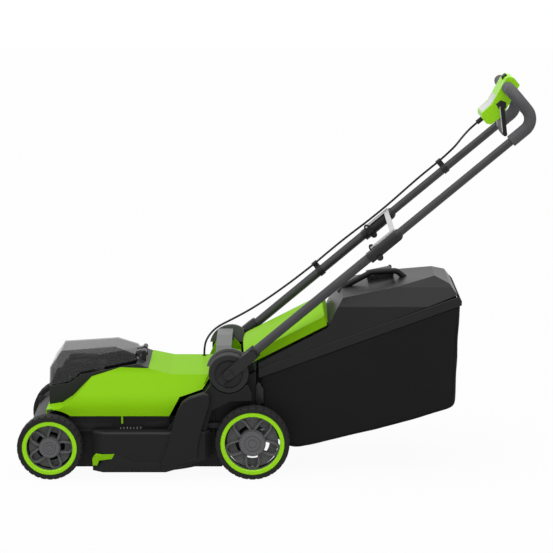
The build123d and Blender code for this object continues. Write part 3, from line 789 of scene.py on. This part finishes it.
@dataclass
class Studio:
    """Camera, lights, floor and world."""

    datum: Datum
    camera_mm: Point = (65.7, -5853.6, 1644.9)
    tilt_deg: float = 10.836
    focal_px: float = 2135.5
    sensor_mm: float = 36.0
    clip_end: float = 50.0
    sun_strength: float = 3.3
    sun_spread_deg: float = 70.0
    sun_lean_deg: Span = (14.0, -6.0)
    lights: tuple[SoftLight, ...] = (
        SoftLight("key", (-1.6, -3.4, 2.6), (0.0, 0.0, 0.4), 2.0, 7.0),
        SoftLight("fill", (2.6, -3.2, 1.4), (0.1, 0.0, 0.4), 2.2, 9.0),
    )
    sky_strength: Span = (0.38, 1.0)
    floor_half: float = 14.0
    floor_grey: Span = (0.52, 0.56)
    floor_glow: float = 0.95
    speckle_per_m: float = 40.0

    def build(self) -> None:
        """Make everything that isn't the mower."""
        scene = bpy.context.scene
        scene.view_settings.view_transform = "Standard"
        lens = bpy.data.cameras.new("camera")
        lens.sensor_width = self.sensor_mm
        lens.lens = self.focal_px / PHOTO_SIDE_PX * self.sensor_mm
        lens.clip_end = self.clip_end
        camera = bpy.data.objects.new("camera", lens)
        camera.location = self.datum.at(*self.camera_mm)
        camera.rotation_euler = (math.radians(90.0 - self.tilt_deg), 0.0, 0.0)
        scene.collection.objects.link(camera)
        scene.camera = camera
        self.sun()
        for light in self.lights:
            light.build()
        self.world()
        self.floor()

    def sun(self) -> None:
        """A wide soft light from above that falls evenly on the whole floor."""
        lamp = bpy.data.lights.new("overhead", "SUN")
        lamp.energy = self.sun_strength
        lamp.angle = math.radians(self.sun_spread_deg)
        holder = bpy.data.objects.new("overhead", lamp)
        holder.rotation_euler = (*(math.radians(lean) for lean in self.sun_lean_deg), 0.0)
        bpy.context.scene.collection.objects.link(holder)

    def world(self) -> None:
        """A white world that is bright to look at and lights the mower gently."""
        graph = Graph(bpy.data.worlds.new("studio"))
        camera = graph.add("ShaderNodeLightPath", {}, {}, "Is Camera Ray")
        seen = camera
        for ray in ("Is Glossy Ray", "Is Transmission Ray"):
            seen = seen.maths("MAXIMUM", camera.sibling(ray))
        dim, bright = self.sky_strength
        strength = graph.add("ShaderNodeMapRange", {}, {"Value": seen, "To Min": dim, "To Max": bright})
        sky = graph.add("ShaderNodeBackground", {}, {"Color": WHITE, "Strength": strength})
        graph.node("ShaderNodeOutputWorld", {}, {"Surface": sky})
        bpy.context.scene.world = graph.owner

    def floor(self) -> None:
        """A plain pale floor that keeps a soft shadow."""
        graph = Graph.of_material("floor_white")
        speckle = graph.noise(graph.coordinates(), self.speckle_per_m)
        pale = graph.blend(speckle, *((grey, grey, grey) for grey in self.floor_grey))
        matte = graph.add("ShaderNodeBsdfDiffuse", {}, {"Color": pale}, "BSDF")
        glow = graph.add("ShaderNodeEmission", {}, {"Color": WHITE, "Strength": 1.0}, "Emission")
        camera = graph.add("ShaderNodeLightPath", {}, {}, "Is Camera Ray")
        seen = (camera + camera.sibling("Is Glossy Ray")) * self.floor_glow
        mixed = graph.add("ShaderNodeMixShader", {}, {"Fac": seen, 1: matte, 2: glow})
        graph.node("ShaderNodeOutputMaterial", {}, {"Surface": mixed})
        shape = bmesh.new()
        bmesh.ops.create_grid(shape, x_segments=1, y_segments=1, size=self.floor_half)
        mesh = bpy.data.meshes.new("floor")
        shape.to_mesh(mesh)
        shape.free()
        mesh.materials.append(graph.owner)
        floor = bpy.data.objects.new("floor", mesh)
        bpy.context.scene.collection.objects.link(floor)


@dataclass
class Wheels:
    """The four wheels."""

    bench: Bench
    floor_y: Span = (191.0, 193.0)
    front_floor_r: Span = (40.0, 58.0)
    rear_floor_r: Span = (47.0, 70.5)

    def build(self) -> None:
        """Dress the wheels."""
        for axle, radii in (("front", self.front_floor_r), ("rear", self.rear_floor_r)):
            for hand, side in SIDES:
                name = f"{axle}_{hand}"
                self.bench.paint(Finish.TYRE, f"{name}_tyre")
                self.bench.paint(Finish.HUB, f"{name}_hub")
                self.bench.paint(Finish.RING, f"{name}_ring")
                self.pocket_floor(name, side, radii)

    def pocket_floor(self, name: str, side: int, radii: Span) -> None:
        """A flat ring that closes the pockets between a wheel's spokes.

        Args:
            name: The wheel.
            side: The side that it is on, -1 or 1.
            radii: The ring's inner and outer radius.
        """
        low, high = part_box(f"{name}_tyre")
        centre = Vector(((low.x + high.x) / 2, 0.0, (low.z + high.z) / 2))
        inner, outer = radii
        near, far = on_side(side, self.floor_y)
        ring = lathe([(inner, near), (outer, near), (outer, far), (inner, far), (inner, near)], centre)
        piece = self.bench.piece(ring, f"pocket_floor_{name}", Finish.HUB, f"{name}_wheel")


@dataclass
class Chassis:
    """Deck, hood, battery bay and what they carry, in millimetres from the rear axle."""

    bench: Bench
    panel_x: Span = (-505.0, -228.0)
    panel_y: Span = (177.0, 178.6)
    panel_z: Span = (126.0, 171.5)
    grip_slot_x: Span = (-394.0, -260.0)
    pads: tuple[Outline, ...] = (
        ((-503, 150), (-389, 150), (-379, 134), (-503, 134)),
        ((-293, 152), (-233, 158), (-233, 136), (-300, 136)),
    )
    pad_proud: float = 1.6
    digit_count: int = 7
    digit_mm: float = 7.5
    digit_step: float = 9.2
    digit_zero: Span = (-373.2, 133.0)
    digit_lift: float = 0.2
    digit_depth: float = 0.15
    arm_outline: Outline = (
        (-222, 134), (-214, 164), (-203, 196), (-190, 219), (-171, 231), (-134, 243), (-116, 240),
        (-116, 214), (-123, 190), (-136, 148), (-146, 106), (-152, 58), (-226, 33), (-252, 27),
        (-252, 50), (-243, 62), (-231, 102),
    )
    arm_y: Span = (198.0, 223.6)
    skirt_outline: Outline = (
        (-408, 24), (-408, 40), (-374, 74), (-352, 63), (-322, 49), (-250, 49), (-250, 24),
    )
    skirt_y: Span = (221.0, 223.6)
    # Line of the thin black bar that paints the shade in the panel groove; no groove is cut.
    groove_line: Outline = (
        (-374, 74.5), (-352, 63.5), (-322, 49.5), (-266, 49.5), (-252, 56), (-245, 70), (-234, 104),
        (-225, 134),
    )
    groove_y: float = 222.9
    groove_r: float = 0.9
    well_rib_x: tuple[float, ...] = tuple(-143.0 + 13.0 * step for step in range(4))
    well_rib_half: float = 2.0
    well_rib_y: Span = (163.5, 170.0)
    well_rib_z: Span = (60.0, 192.0)
    well_foot_x: Span = (-158.0, -92.0)
    well_foot_y: Span = (163.5, 168.0)
    well_foot_z: Span = (56.0, 61.0)
    strap_pad_x: Span = (-92.0, -67.0)
    strap_pad_ends: tuple[Span, Span] = ((151.0, 333.0), (116.0, 349.8))
    strap_pad_sunk: float = 0.6
    strap_pad_thick: float = 2.0
    pack_rib_x: tuple[float, ...] = tuple(-526.0 + 16.0 * step for step in range(7))
    pack_rib_half: float = 3.0
    pack_rib_y: Span = (69.5, 71.5)
    pack_rib_z: Span = (212.0, 262.0)
    pack_button_x: Span = (-500.0, -460.0)
    pack_button_y: Span = (24.0, 52.0)
    pack_button_z: Span = (289.5, 293.0)

    def build(self) -> None:
        """Dress the chassis."""
        bench = self.bench
        bench.softened("deck", Finish.BLACK, width=2.0, segments=2)
        bench.softened("hood", Finish.GREEN, width=3.0, segments=3)
        bench.softened("battery_bay", Finish.DARK, width=1.5, segments=2)
        bench.softened("battery_lid", Finish.SMOKED, width=3.0, segments=3)
        bench.softened("carry_beam", Finish.STRAP, width=2.0, segments=3)
        bench.softened("rear_flap", Finish.GREEN, width=1.2, segments=2)
        bench.softened("height_grip", Finish.GREEN, width=1.0, segments=2)
        bench.softened("grass_combs", Finish.GREEN, width=0.8, segments=2)
        bench.paint(Finish.BLACK, "blade_chamber")
        bench.paint(Finish.DARK, "pivot_housings", "controller_box")
        bench.softened("battery_left", Finish.PACK, width=2.0, segments=2)
        bench.softened("battery_right", Finish.PACK, width=2.0, segments=2)
        bench.paint(Finish.KEY, "safety_key")
        bench.paint(Finish.STEEL, "flap_hinge_rod", "motor_shaft")
        bench.paint(Finish.COATED, "motor_housing", "blade", "blade_bolt", "front_axle", "rear_axle")
        bench.paint(Finish.DARK, "blade_adapter", "height_rod_left", "height_rod_right")
        self.side_panels()
        self.height_scale()
        self.arm_skins()
        self.well_ribs()
        self.strap_pads()
        self.battery_details()

    def side_panels(self) -> None:
        """Black panels between the bulges and the hood, with raised pads beside the height scale."""
        bench = self.bench
        front, rear = self.panel_x
        slot_front, slot_rear = self.grip_slot_x
        runs_of = {"left": [(front, rear)], "right": [(front, slot_front), (slot_rear, rear)]}
        for hand, side in SIDES:
            inner, outer = on_side(side, self.panel_y)
            shapes = [bench.block(run, (inner, outer), self.panel_z) for run in runs_of[hand]]
            if hand == "left":
                proud = (outer, outer + side * self.pad_proud)
                shapes += [rounded(bench.side_plate(pad, proud), width_mm=0.6) for pad in self.pads]
            piece = bench.piece(joined(shapes), f"side_panel_{hand}", Finish.BLACK, "deck")

    def height_scale(self) -> None:
        """Plain numbers beside the pointer."""
        figures = bmesh.new()
        upright = Matrix.Rotation(math.pi / 2, 4, "X")
        zero, low = self.digit_zero
        near = -self.panel_y[1] - self.digit_lift
        for number in range(1, self.digit_count + 1):
            curve = bpy.data.curves.new("digit", "FONT")
            curve.body = str(number)
            curve.size = self.digit_mm * MM
            curve.extrude = self.digit_depth * MM
            holder = bpy.data.objects.new("digit", curve)
            mesh = bpy.data.meshes.new_from_object(holder)
            place = self.bench.datum.at(zero + self.digit_step * number, near, low)
            mesh.transform(Matrix.Translation(place) @ upright)
            figures.from_mesh(mesh)
            bpy.data.objects.remove(holder)
            bpy.data.curves.remove(curve)
            bpy.data.meshes.remove(mesh)
        piece = self.bench.piece(figures, "height_numbers", Finish.LABEL, "deck")

    def arm_skins(self) -> None:
        """Arms that sweep from the pivots over the bulges, skirts, and a thin black bar that paints the
        shade in the groove between them.
        """
        bench = self.bench
        for hand, side in SIDES:
            arm = bench.side_plate(self.arm_outline, on_side(side, self.arm_y))
            skirt = bench.side_plate(self.skirt_outline, on_side(side, self.skirt_y))
            shapes = [rounded(arm, width_mm=5.0, segments=4), rounded(skirt, width_mm=1.6, segments=3)]
            piece = bench.piece(joined(shapes), f"arm_skin_{hand}", Finish.BLACK, "deck")
            # No groove is cut here: a thin black bar along its line paints the shade that would lie in it.
            line = [bench.datum.at(x, side * self.groove_y, z) for x, z in self.groove_line]
            bar = pipe(line, self.groove_r, sides=8)
            groove_shade_bar = bench.piece(bar, f"panel_groove_{hand}", Finish.JACKET, "deck")

    def rib_row(self, places: Sequence[float], half: float, y: Span, z: Span) -> list[Shape]:
        """Upright ribs at places along X, each of the given half width."""
        return [self.bench.block((x - half, x + half), y, z) for x in places]

    def well_ribs(self) -> None:
        """Upright ribs in front of the rear wheels, on a foot."""
        for hand, side in SIDES:
            across = on_side(side, self.well_rib_y)
            ribs = self.rib_row(self.well_rib_x, self.well_rib_half, across, self.well_rib_z)
            foot_across = on_side(side, self.well_foot_y)
            ribs.append(self.bench.block(self.well_foot_x, foot_across, self.well_foot_z))
            shape = rounded(joined(ribs), width_mm=0.8)
            piece = self.bench.piece(shape, f"well_ribs_{hand}", Finish.BLACK, "deck")

    def strap_pads(self) -> None:
        """Plain raised pads on the two slopes of the strap."""
        at = self.bench.datum.at
        front, rear = self.strap_pad_x
        for hand, side in SIDES:
            low, high = ((side * y, z) for y, z in self.strap_pad_ends)
            out = (at(0.0, *high) - at(0.0, *low)).cross(Vector((1.0, 0.0, 0.0))).normalized()
            out = out if out.z > 0 else -out
            corners = [at(front, *low), at(rear, *low), at(rear, *high), at(front, *high)]
            sunk = [corner - out * self.strap_pad_sunk * MM for corner in corners]
            pad = rounded(slab(sunk, out * self.strap_pad_thick * MM), width_mm=0.7)
            piece = self.bench.piece(pad, f"strap_pad_{hand}", Finish.STRAP, "deck")

    def battery_details(self) -> None:
        """Ribs and release buttons on the battery packs."""
        for hand, side in SIDES:
            across = on_side(side, self.pack_rib_y)
            ribs = self.rib_row(self.pack_rib_x, self.pack_rib_half, across, self.pack_rib_z)
            shape = rounded(joined(ribs), width_mm=0.7)
            piece = self.bench.piece(shape, f"pack_ribs_{hand}", Finish.HUB, "deck")
            across = on_side(side, self.pack_button_y)
            button = self.bench.block(self.pack_button_x, across, self.pack_button_z)
            shape = rounded(button, width_mm=1.0)
            piece = self.bench.piece(shape, f"pack_button_{hand}", Finish.HUB, "deck")


@dataclass
class Handle:
    """Tubes, clamps, lock bail, grip, control box and cable, in millimetres along the handle."""

    bench: Bench
    knob_r: float = 34.0
    bar_half: float = 16.0
    knob_y: Span = (199.5, 206.0)
    panel_outline: Outline = (
        (978, 90), (1012, 91.5), (1035, 101), (1034.7, 102), (1011.7, 92.6), (978, 91),
    )
    panel_half: float = 46.0
    slot_outline: Outline = ((1018, 69), (1020, 85), (1037, 85), (1045, 71), (1035, 59))
    slot_y: Span = (59.0, 60.8)
    lever_pivot: Span = (1030.0, 70.0)
    lever_tip: Span = (988.0, 6.0)
    lever_y: Span = (61.2, 68.0)
    lever_edge: Span = (5.7, 8.0)
    lever_edge_short: float = 6.0
    rib_count: int = 9
    rib_lead: float = 0.7
    rib_half: Span = (4.5, 1.6)
    rib_proud: float = 0.9
    cable_r: float = 3.0
    gland_out: float = 70.0
    gland_run: tuple[float, ...] = (948.5, 958.0, 967.0)
    gland_r: float = 6.5
    upper_route: tuple[Point, ...] = (
        (966, 0, 70), (934, 0, 70), (912, 40, 62), (886, 104, 48), (862, 160, 34), (828, 186, 27),
        (795.2, 186, 26),
    )
    middle_route: tuple[Point, ...] = (
        (794.8, 186, 26), (735, 186, 27), (670, 186, 25), (600, 186, 22.5), (530, 186, 23), (465, 186, 26),
        (400, 186, 27), (335.2, 186, 26),
    )
    lower_route: tuple[Point, ...] = (
        (334.8, 186, 26), (275, 186, 27), (215, 182, 31), (155, 174, 37), (98, 167, 46), (46, 161, 58),
        (4, 148, 70), (-30, 130, 68), (-56, 114, 54), (-76, 106, 28),
    )

    def build(self) -> None:
        """Dress the handle."""
        bench = self.bench
        bench.paint(Finish.TUBE, "lower_tube_left", "lower_tube_right", "upper_bar")
        bench.paint(Finish.DARK, "clamp_sleeves", "cable_clip_upper", "cable_clip_lower")
        bench.softened("handle_feet", Finish.DARK, width=1.2, segments=2)
        bench.softened("pivot_bolts", Finish.DARK, width=0.8, segments=2)
        bench.paint(Finish.STEEL, "lever_pin")
        bench.paint(Finish.DARK, "clamp_bolts")
        bench.softened("lock_bail", Finish.STEEL, width=0.8, segments=2)
        grip = bench.softened("foam_grip", Finish.FOAM, width=2.0, segments=3)
        bench.softened("control_top", Finish.RING, width=5.0, segments=4)
        bench.softened("control_base", Finish.RING, width=5.0, segments=4)
        bench.softened("start_lever", Finish.DARK, width=1.5, segments=2)
        bench.softened("start_button", Finish.DARK, width=1.0, segments=2)
        self.pivot_knobs()
        self.control_details()
        self.gland_sleeve()
        self.lever_arms()
        self.cable()

    def pivot_knobs(self) -> None:
        """Two half-round knobs on each foot, with a gap along the tube between them."""
        datum = self.bench.datum
        rise = (datum.on_handle(0, 0, 1) - datum.on_handle(0, 0, 0)).normalized()
        for hand, side in SIDES:
            inner, outer = on_side(side, self.knob_y)
            profile = [(0.0, inner), (self.knob_r, inner), (self.knob_r, outer), (0.0, outer)]
            halves = []
            for half in (-1, 1):
                disc = lathe(profile, datum.pivot)
                geometry = disc.verts[:] + disc.edges[:] + disc.faces[:]
                edge_of_gap = datum.on_handle(0, 0, half * self.bar_half)
                cut = bmesh.ops.bisect_plane(disc, geom=geometry, dist=ON_PLANE, plane_co=edge_of_gap,
                                             plane_no=rise * half, clear_inner=True)
                rim = [item for item in cut["geom_cut"] if isinstance(item, bmesh.types.BMEdge)]
                bmesh.ops.contextual_create(disc, geom=rim)
                bmesh.ops.recalc_face_normals(disc, faces=disc.faces)
                halves.append(rounded(disc, width_mm=1.6, segments=3, hard_deg=40.0))
            piece = self.bench.piece(joined(halves), f"pivot_knob_{hand}", Finish.LID, "handle_lower")

    def control_details(self) -> None:
        """A plain panel on top of the control box and dark slots where the lever comes out."""
        label = self.bench.handle_plate(self.panel_outline, (-self.panel_half, self.panel_half))
        piece = self.bench.piece(label, "control_panel", Finish.LABEL, "handle_upper")
        for hand, side in SIDES:
            plate = self.bench.handle_plate(self.slot_outline, on_side(side, self.slot_y))
            patch = rounded(plate, width_mm=0.5)
            piece = self.bench.piece(patch, f"lever_slot_{hand}", Finish.DARK, "handle_upper")

    def gland_sleeve(self) -> None:
        """A black sleeve where the cable leaves the control box."""
        line = [self.bench.datum.on_handle(along, 0, self.gland_out) for along in self.gland_run]
        sleeve = pipe(line, self.gland_r, sides=24)
        piece = self.bench.piece(sleeve, "gland_sleeve", Finish.JACKET, "handle_upper")

    def lever_arms(self) -> None:
        """Ribs on the side arms of the start lever and a bright front edge."""
        pivot, tip = Vector(self.lever_pivot), Vector(self.lever_tip)
        run = (tip - pivot).normalized()
        front = Vector((-run.y, run.x))
        front = front if front.x < 0 else -front
        step = (tip - pivot).length / self.rib_count
        wide, long = front * self.rib_half[0], run * self.rib_half[1]
        near, far = (front * reach for reach in self.lever_edge)
        end = tip - run * self.lever_edge_short
        edge = [pivot + near, end + near, end + far, pivot + far]
        outer = self.lever_y[1]
        for hand, side in SIDES:
            shapes = []
            for index in range(self.rib_count):
                middle = pivot + run * (step * (index + self.rib_lead))
                upper, lower = middle + wide, middle - wide
                rib = [upper - long, upper + long, lower + long, lower - long]
                across = on_side(side, (outer, outer + self.rib_proud))
                shapes.append(self.bench.handle_plate(rib, across))
            piece = self.bench.piece(joined(shapes), f"lever_ribs_{hand}", Finish.DARK, "start_lever")
            plate = self.bench.handle_plate(edge, on_side(side, self.lever_y))
            strip = rounded(plate, width_mm=0.6)
            piece = self.bench.piece(strip, f"lever_edge_{hand}", Finish.STEEL, "start_lever")

    def cable(self) -> None:
        """The cable in three runs between its clips."""
        runs = {"upper": self.upper_route, "middle": self.middle_route, "lower": self.lower_route}
        for name, route in runs.items():
            line = nurbs_line([self.bench.datum.on_handle(*point) for point in route])
            body = "handle_upper" if name == "upper" else ""
            cord = pipe(line, self.cable_r)
            piece = self.bench.piece(cord, f"cable_{name}_run", Finish.JACKET, body, [f"cable_{name}"])
            if name == "middle":
                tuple(line[-1])
                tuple(line[0])
                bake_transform(piece)
            if name == "lower":
                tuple(line[-1])
                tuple(line[0])
                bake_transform(piece)


@dataclass(frozen=True)
class BagForm:
    """The bag's lines in millimetres, and places on it as shares of its reach."""

    top_front: Span = (18.0, 272.4)
    top_rear: Span = (566.0, 473.2)
    bottom: Outline = (
        (24, 150), (60, 102), (106, 64), (180, 84), (355, 124), (480, 160), (557, 186),
    )
    half: float = 163.0
    taper: float = 11.0
    bulge: float = 5.0
    sag: float = 5.0
    wrinkle: float = 2.2
    wrinkle_per_m: Point = (9.0, 9.0, 14.0)
    wrinkle_lean: float = 5.0
    cloth: float = 1.5
    mouth_share: float = 0.85
    across: tuple[float, ...] = (-0.85, -0.5, 0.0, 0.5, 0.85)
    along: tuple[float, ...] = (0.05, 0.14, 0.25, 0.38, 0.5, 0.62, 0.74, 0.86, 0.95)
    up: tuple[float, ...] = (0.09, 0.25, 0.45, 0.65, 0.85)
    cage_levels: int = 3
    flat: Span = (0.95, 0.75)
    piping_r: float = 1.6
    piping_side: float = 0.985
    piping_low: float = 0.02
    piping_rear: float = 0.99
    piping_steps: tuple[int, int] = (24, 12)


@dataclass
class GrassBox:
    """Hard lid, rim, cloth bag, carry handle and fill flap."""

    bench: Bench
    form: BagForm = BagForm()
    post_outline: Outline = ((9, 204), (9, 252), (13, 260), (22, 260), (25, 250), (30, 246), (30, 204))
    post_y: Span = (166.0, 172.0)

    def build(self) -> None:
        """Dress the grass box."""
        bench = self.bench
        bench.softened("grass_lid", Finish.LID, width=6.0, segments=4, hard_deg=14.0)
        bench.softened("grass_rim", Finish.LID, width=1.5, segments=2)
        bench.paint(Finish.BLACK, "grass_handle")
        bench.softened("fill_flap", Finish.DARK, width=1.0, segments=2)
        self.bag()
        self.hook_posts()

    def hook_posts(self) -> None:
        """Posts at the front of the rim that hang the box on the deck."""
        for hand, side in SIDES:
            plate = self.bench.side_plate(self.post_outline, on_side(side, self.post_y))
            post = rounded(plate, width_mm=1.2)
            piece = self.bench.piece(post, f"hook_post_{hand}", Finish.DARK, "grass_box")

    def bag_point(self, low: Sequence[Vector], u: float, v: float, w: float) -> Vector:
        """A point on the bag.

        Args:
            low: Points along the bottom line, as X and Z.
            u: From the front, 0, to the rear, 1.
            v: From the left, -1, to the right, 1.
            w: From the bottom, 0, to the top, 1.

        Returns:
            The point in the shared frame.
        """
        form = self.form
        place = u * (len(low) - 1)
        index = min(int(place), len(low) - 2)
        bottom = low[index].lerp(low[index + 1], place - index)
        top = Vector((*form.top_front, 0.0)).lerp(Vector((*form.top_rear, 0.0)), u)
        side = bottom.lerp(top, w)
        swell = math.sin(math.pi * u) * math.sin(math.pi * w)
        half = form.half - form.taper * (1 - w) ** 2 + form.bulge * swell
        drop = form.sag * math.sin(math.pi * u) * (1 - v * v) * (1 - w)
        return self.bench.datum.at(side.x, v * half, side.y - drop)

    def bag_cage(self, low: Sequence[Vector]) -> Shape:
        """The coarse cage of the bag, open at the top and at the mouth.

        Args:
            low: Points along the bottom line, as X and Z.

        Returns:
            The cage in the shared frame.
        """
        form = self.form
        shape = bmesh.new()
        bmesh.ops.create_cube(shape, size=2.0)
        cuts = [(0, 2 * place - 1) for place in form.along] + [(1, place) for place in form.across]
        cuts += [(2, 2 * place - 1) for place in form.up]
        for axis, place in cuts:
            normal = Vector([1.0 if index == axis else 0.0 for index in range(3)])
            geometry = shape.verts[:] + shape.edges[:] + shape.faces[:]
            bmesh.ops.bisect_plane(shape, geom=geometry, dist=ON_PLANE, plane_co=normal * place,
                                   plane_no=normal)
        middles = {face: face.calc_center_median() for face in shape.faces}
        top = [face for face, middle in middles.items() if middle.z > CUBE_END]
        front = [face for face, middle in middles.items() if middle.x < -CUBE_END]
        mouth = [face for face in front if abs(middles[face].y) < form.mouth_share]
        bmesh.ops.delete(shape, geom=top + mouth, context="FACES")
        for vert in shape.verts:
            vert.co = self.bag_point(low, (vert.co.x + 1) / 2, vert.co.y, (vert.co.z + 1) / 2)
        return shape

    def wrinkle(self, shape: Shape) -> None:
        """Move the points of the cloth a little in and out, apart from its edges.

        Args:
            shape: The fine cloth, which is changed.
        """
        form = self.form
        bmesh.ops.recalc_face_normals(shape, faces=shape.faces)
        shape.normal_update()
        for vert in shape.verts:
            if vert.is_boundary:
                continue
            spot = Vector(form.wrinkle_per_m) * vert.co
            spot.z += vert.co.x * form.wrinkle_lean
            vert.co += vert.normal * noise.noise(spot) * form.wrinkle * MM

    def chart_cloth(self, shape: Shape) -> None:
        """Give each face of the cloth a chart in metres, seen along its main direction.

        Args:
            shape: The fine cloth, which is changed.
        """
        chart = shape.loops.layers.uv.new(CLOTH_CHART)
        for face in shape.faces:
            sizes = [abs(value) for value in face.normal]
            drawn = [axis for axis in range(3) if axis != sizes.index(max(sizes))]
            for loop in face.loops:
                loop[chart].uv = [loop.vert.co[axis] for axis in drawn]

    def bag(self) -> None:
        """A sewn cloth bag that hangs from the rim, open at the mouth."""
        form = self.form
        low = nurbs_line([Vector((x, z, 0.0)) for x, z in form.bottom])
        shape = refined(self.bag_cage(low), form.cage_levels)
        self.wrinkle(shape)
        area = sum(face.calc_area() for face in shape.faces)
        self.chart_cloth(shape)
        bag = self.bench.piece(shape, "bag_cloth_shell", Finish.CLOTH, "grass_box", ["grass_bag"],
                               smooth_deg=60.0)
        thick = bag.modifiers.new("cloth", "SOLIDIFY")
        thick.thickness = form.cloth * MM
        thick.offset = -1.0
        seams = self.bag_seams(low)

    def bag_seams(self, low: Sequence[Vector]) -> bpy.types.Object:
        """Piping along the two bottom edges and up the rear corners.

        Args:
            low: Points along the bottom line, as X and Z.

        Returns:
            The piping.
        """
        form = self.form
        along, up = form.piping_steps
        cords = []
        for side in (-1, 1):
            v = side * form.piping_side
            run = [self.bag_point(low, step / along, v, form.piping_low) for step in range(1, along)]
            run += [self.bag_point(low, form.piping_rear, v, step / up) for step in range(1, up)]
            cords.append(pipe(nurbs_line(run, per_span=2), form.piping_r, sides=8))
        piece = self.bench.piece(joined(cords), "bag_piping", Finish.CLOTH_EDGE, "grass_box")
        return piece


def main() -> None:
    """Build every sub-assembly in order."""
    logging.basicConfig(level=logging.INFO, format="%(name)s %(message)s")
    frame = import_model()
    bench = Bench(frame)
    Studio(bench.datum).build()
    for assembly in (Wheels, Chassis, Handle, GrassBox):
        assembly(bench).build()


if __name__ == "__main__":
    main()
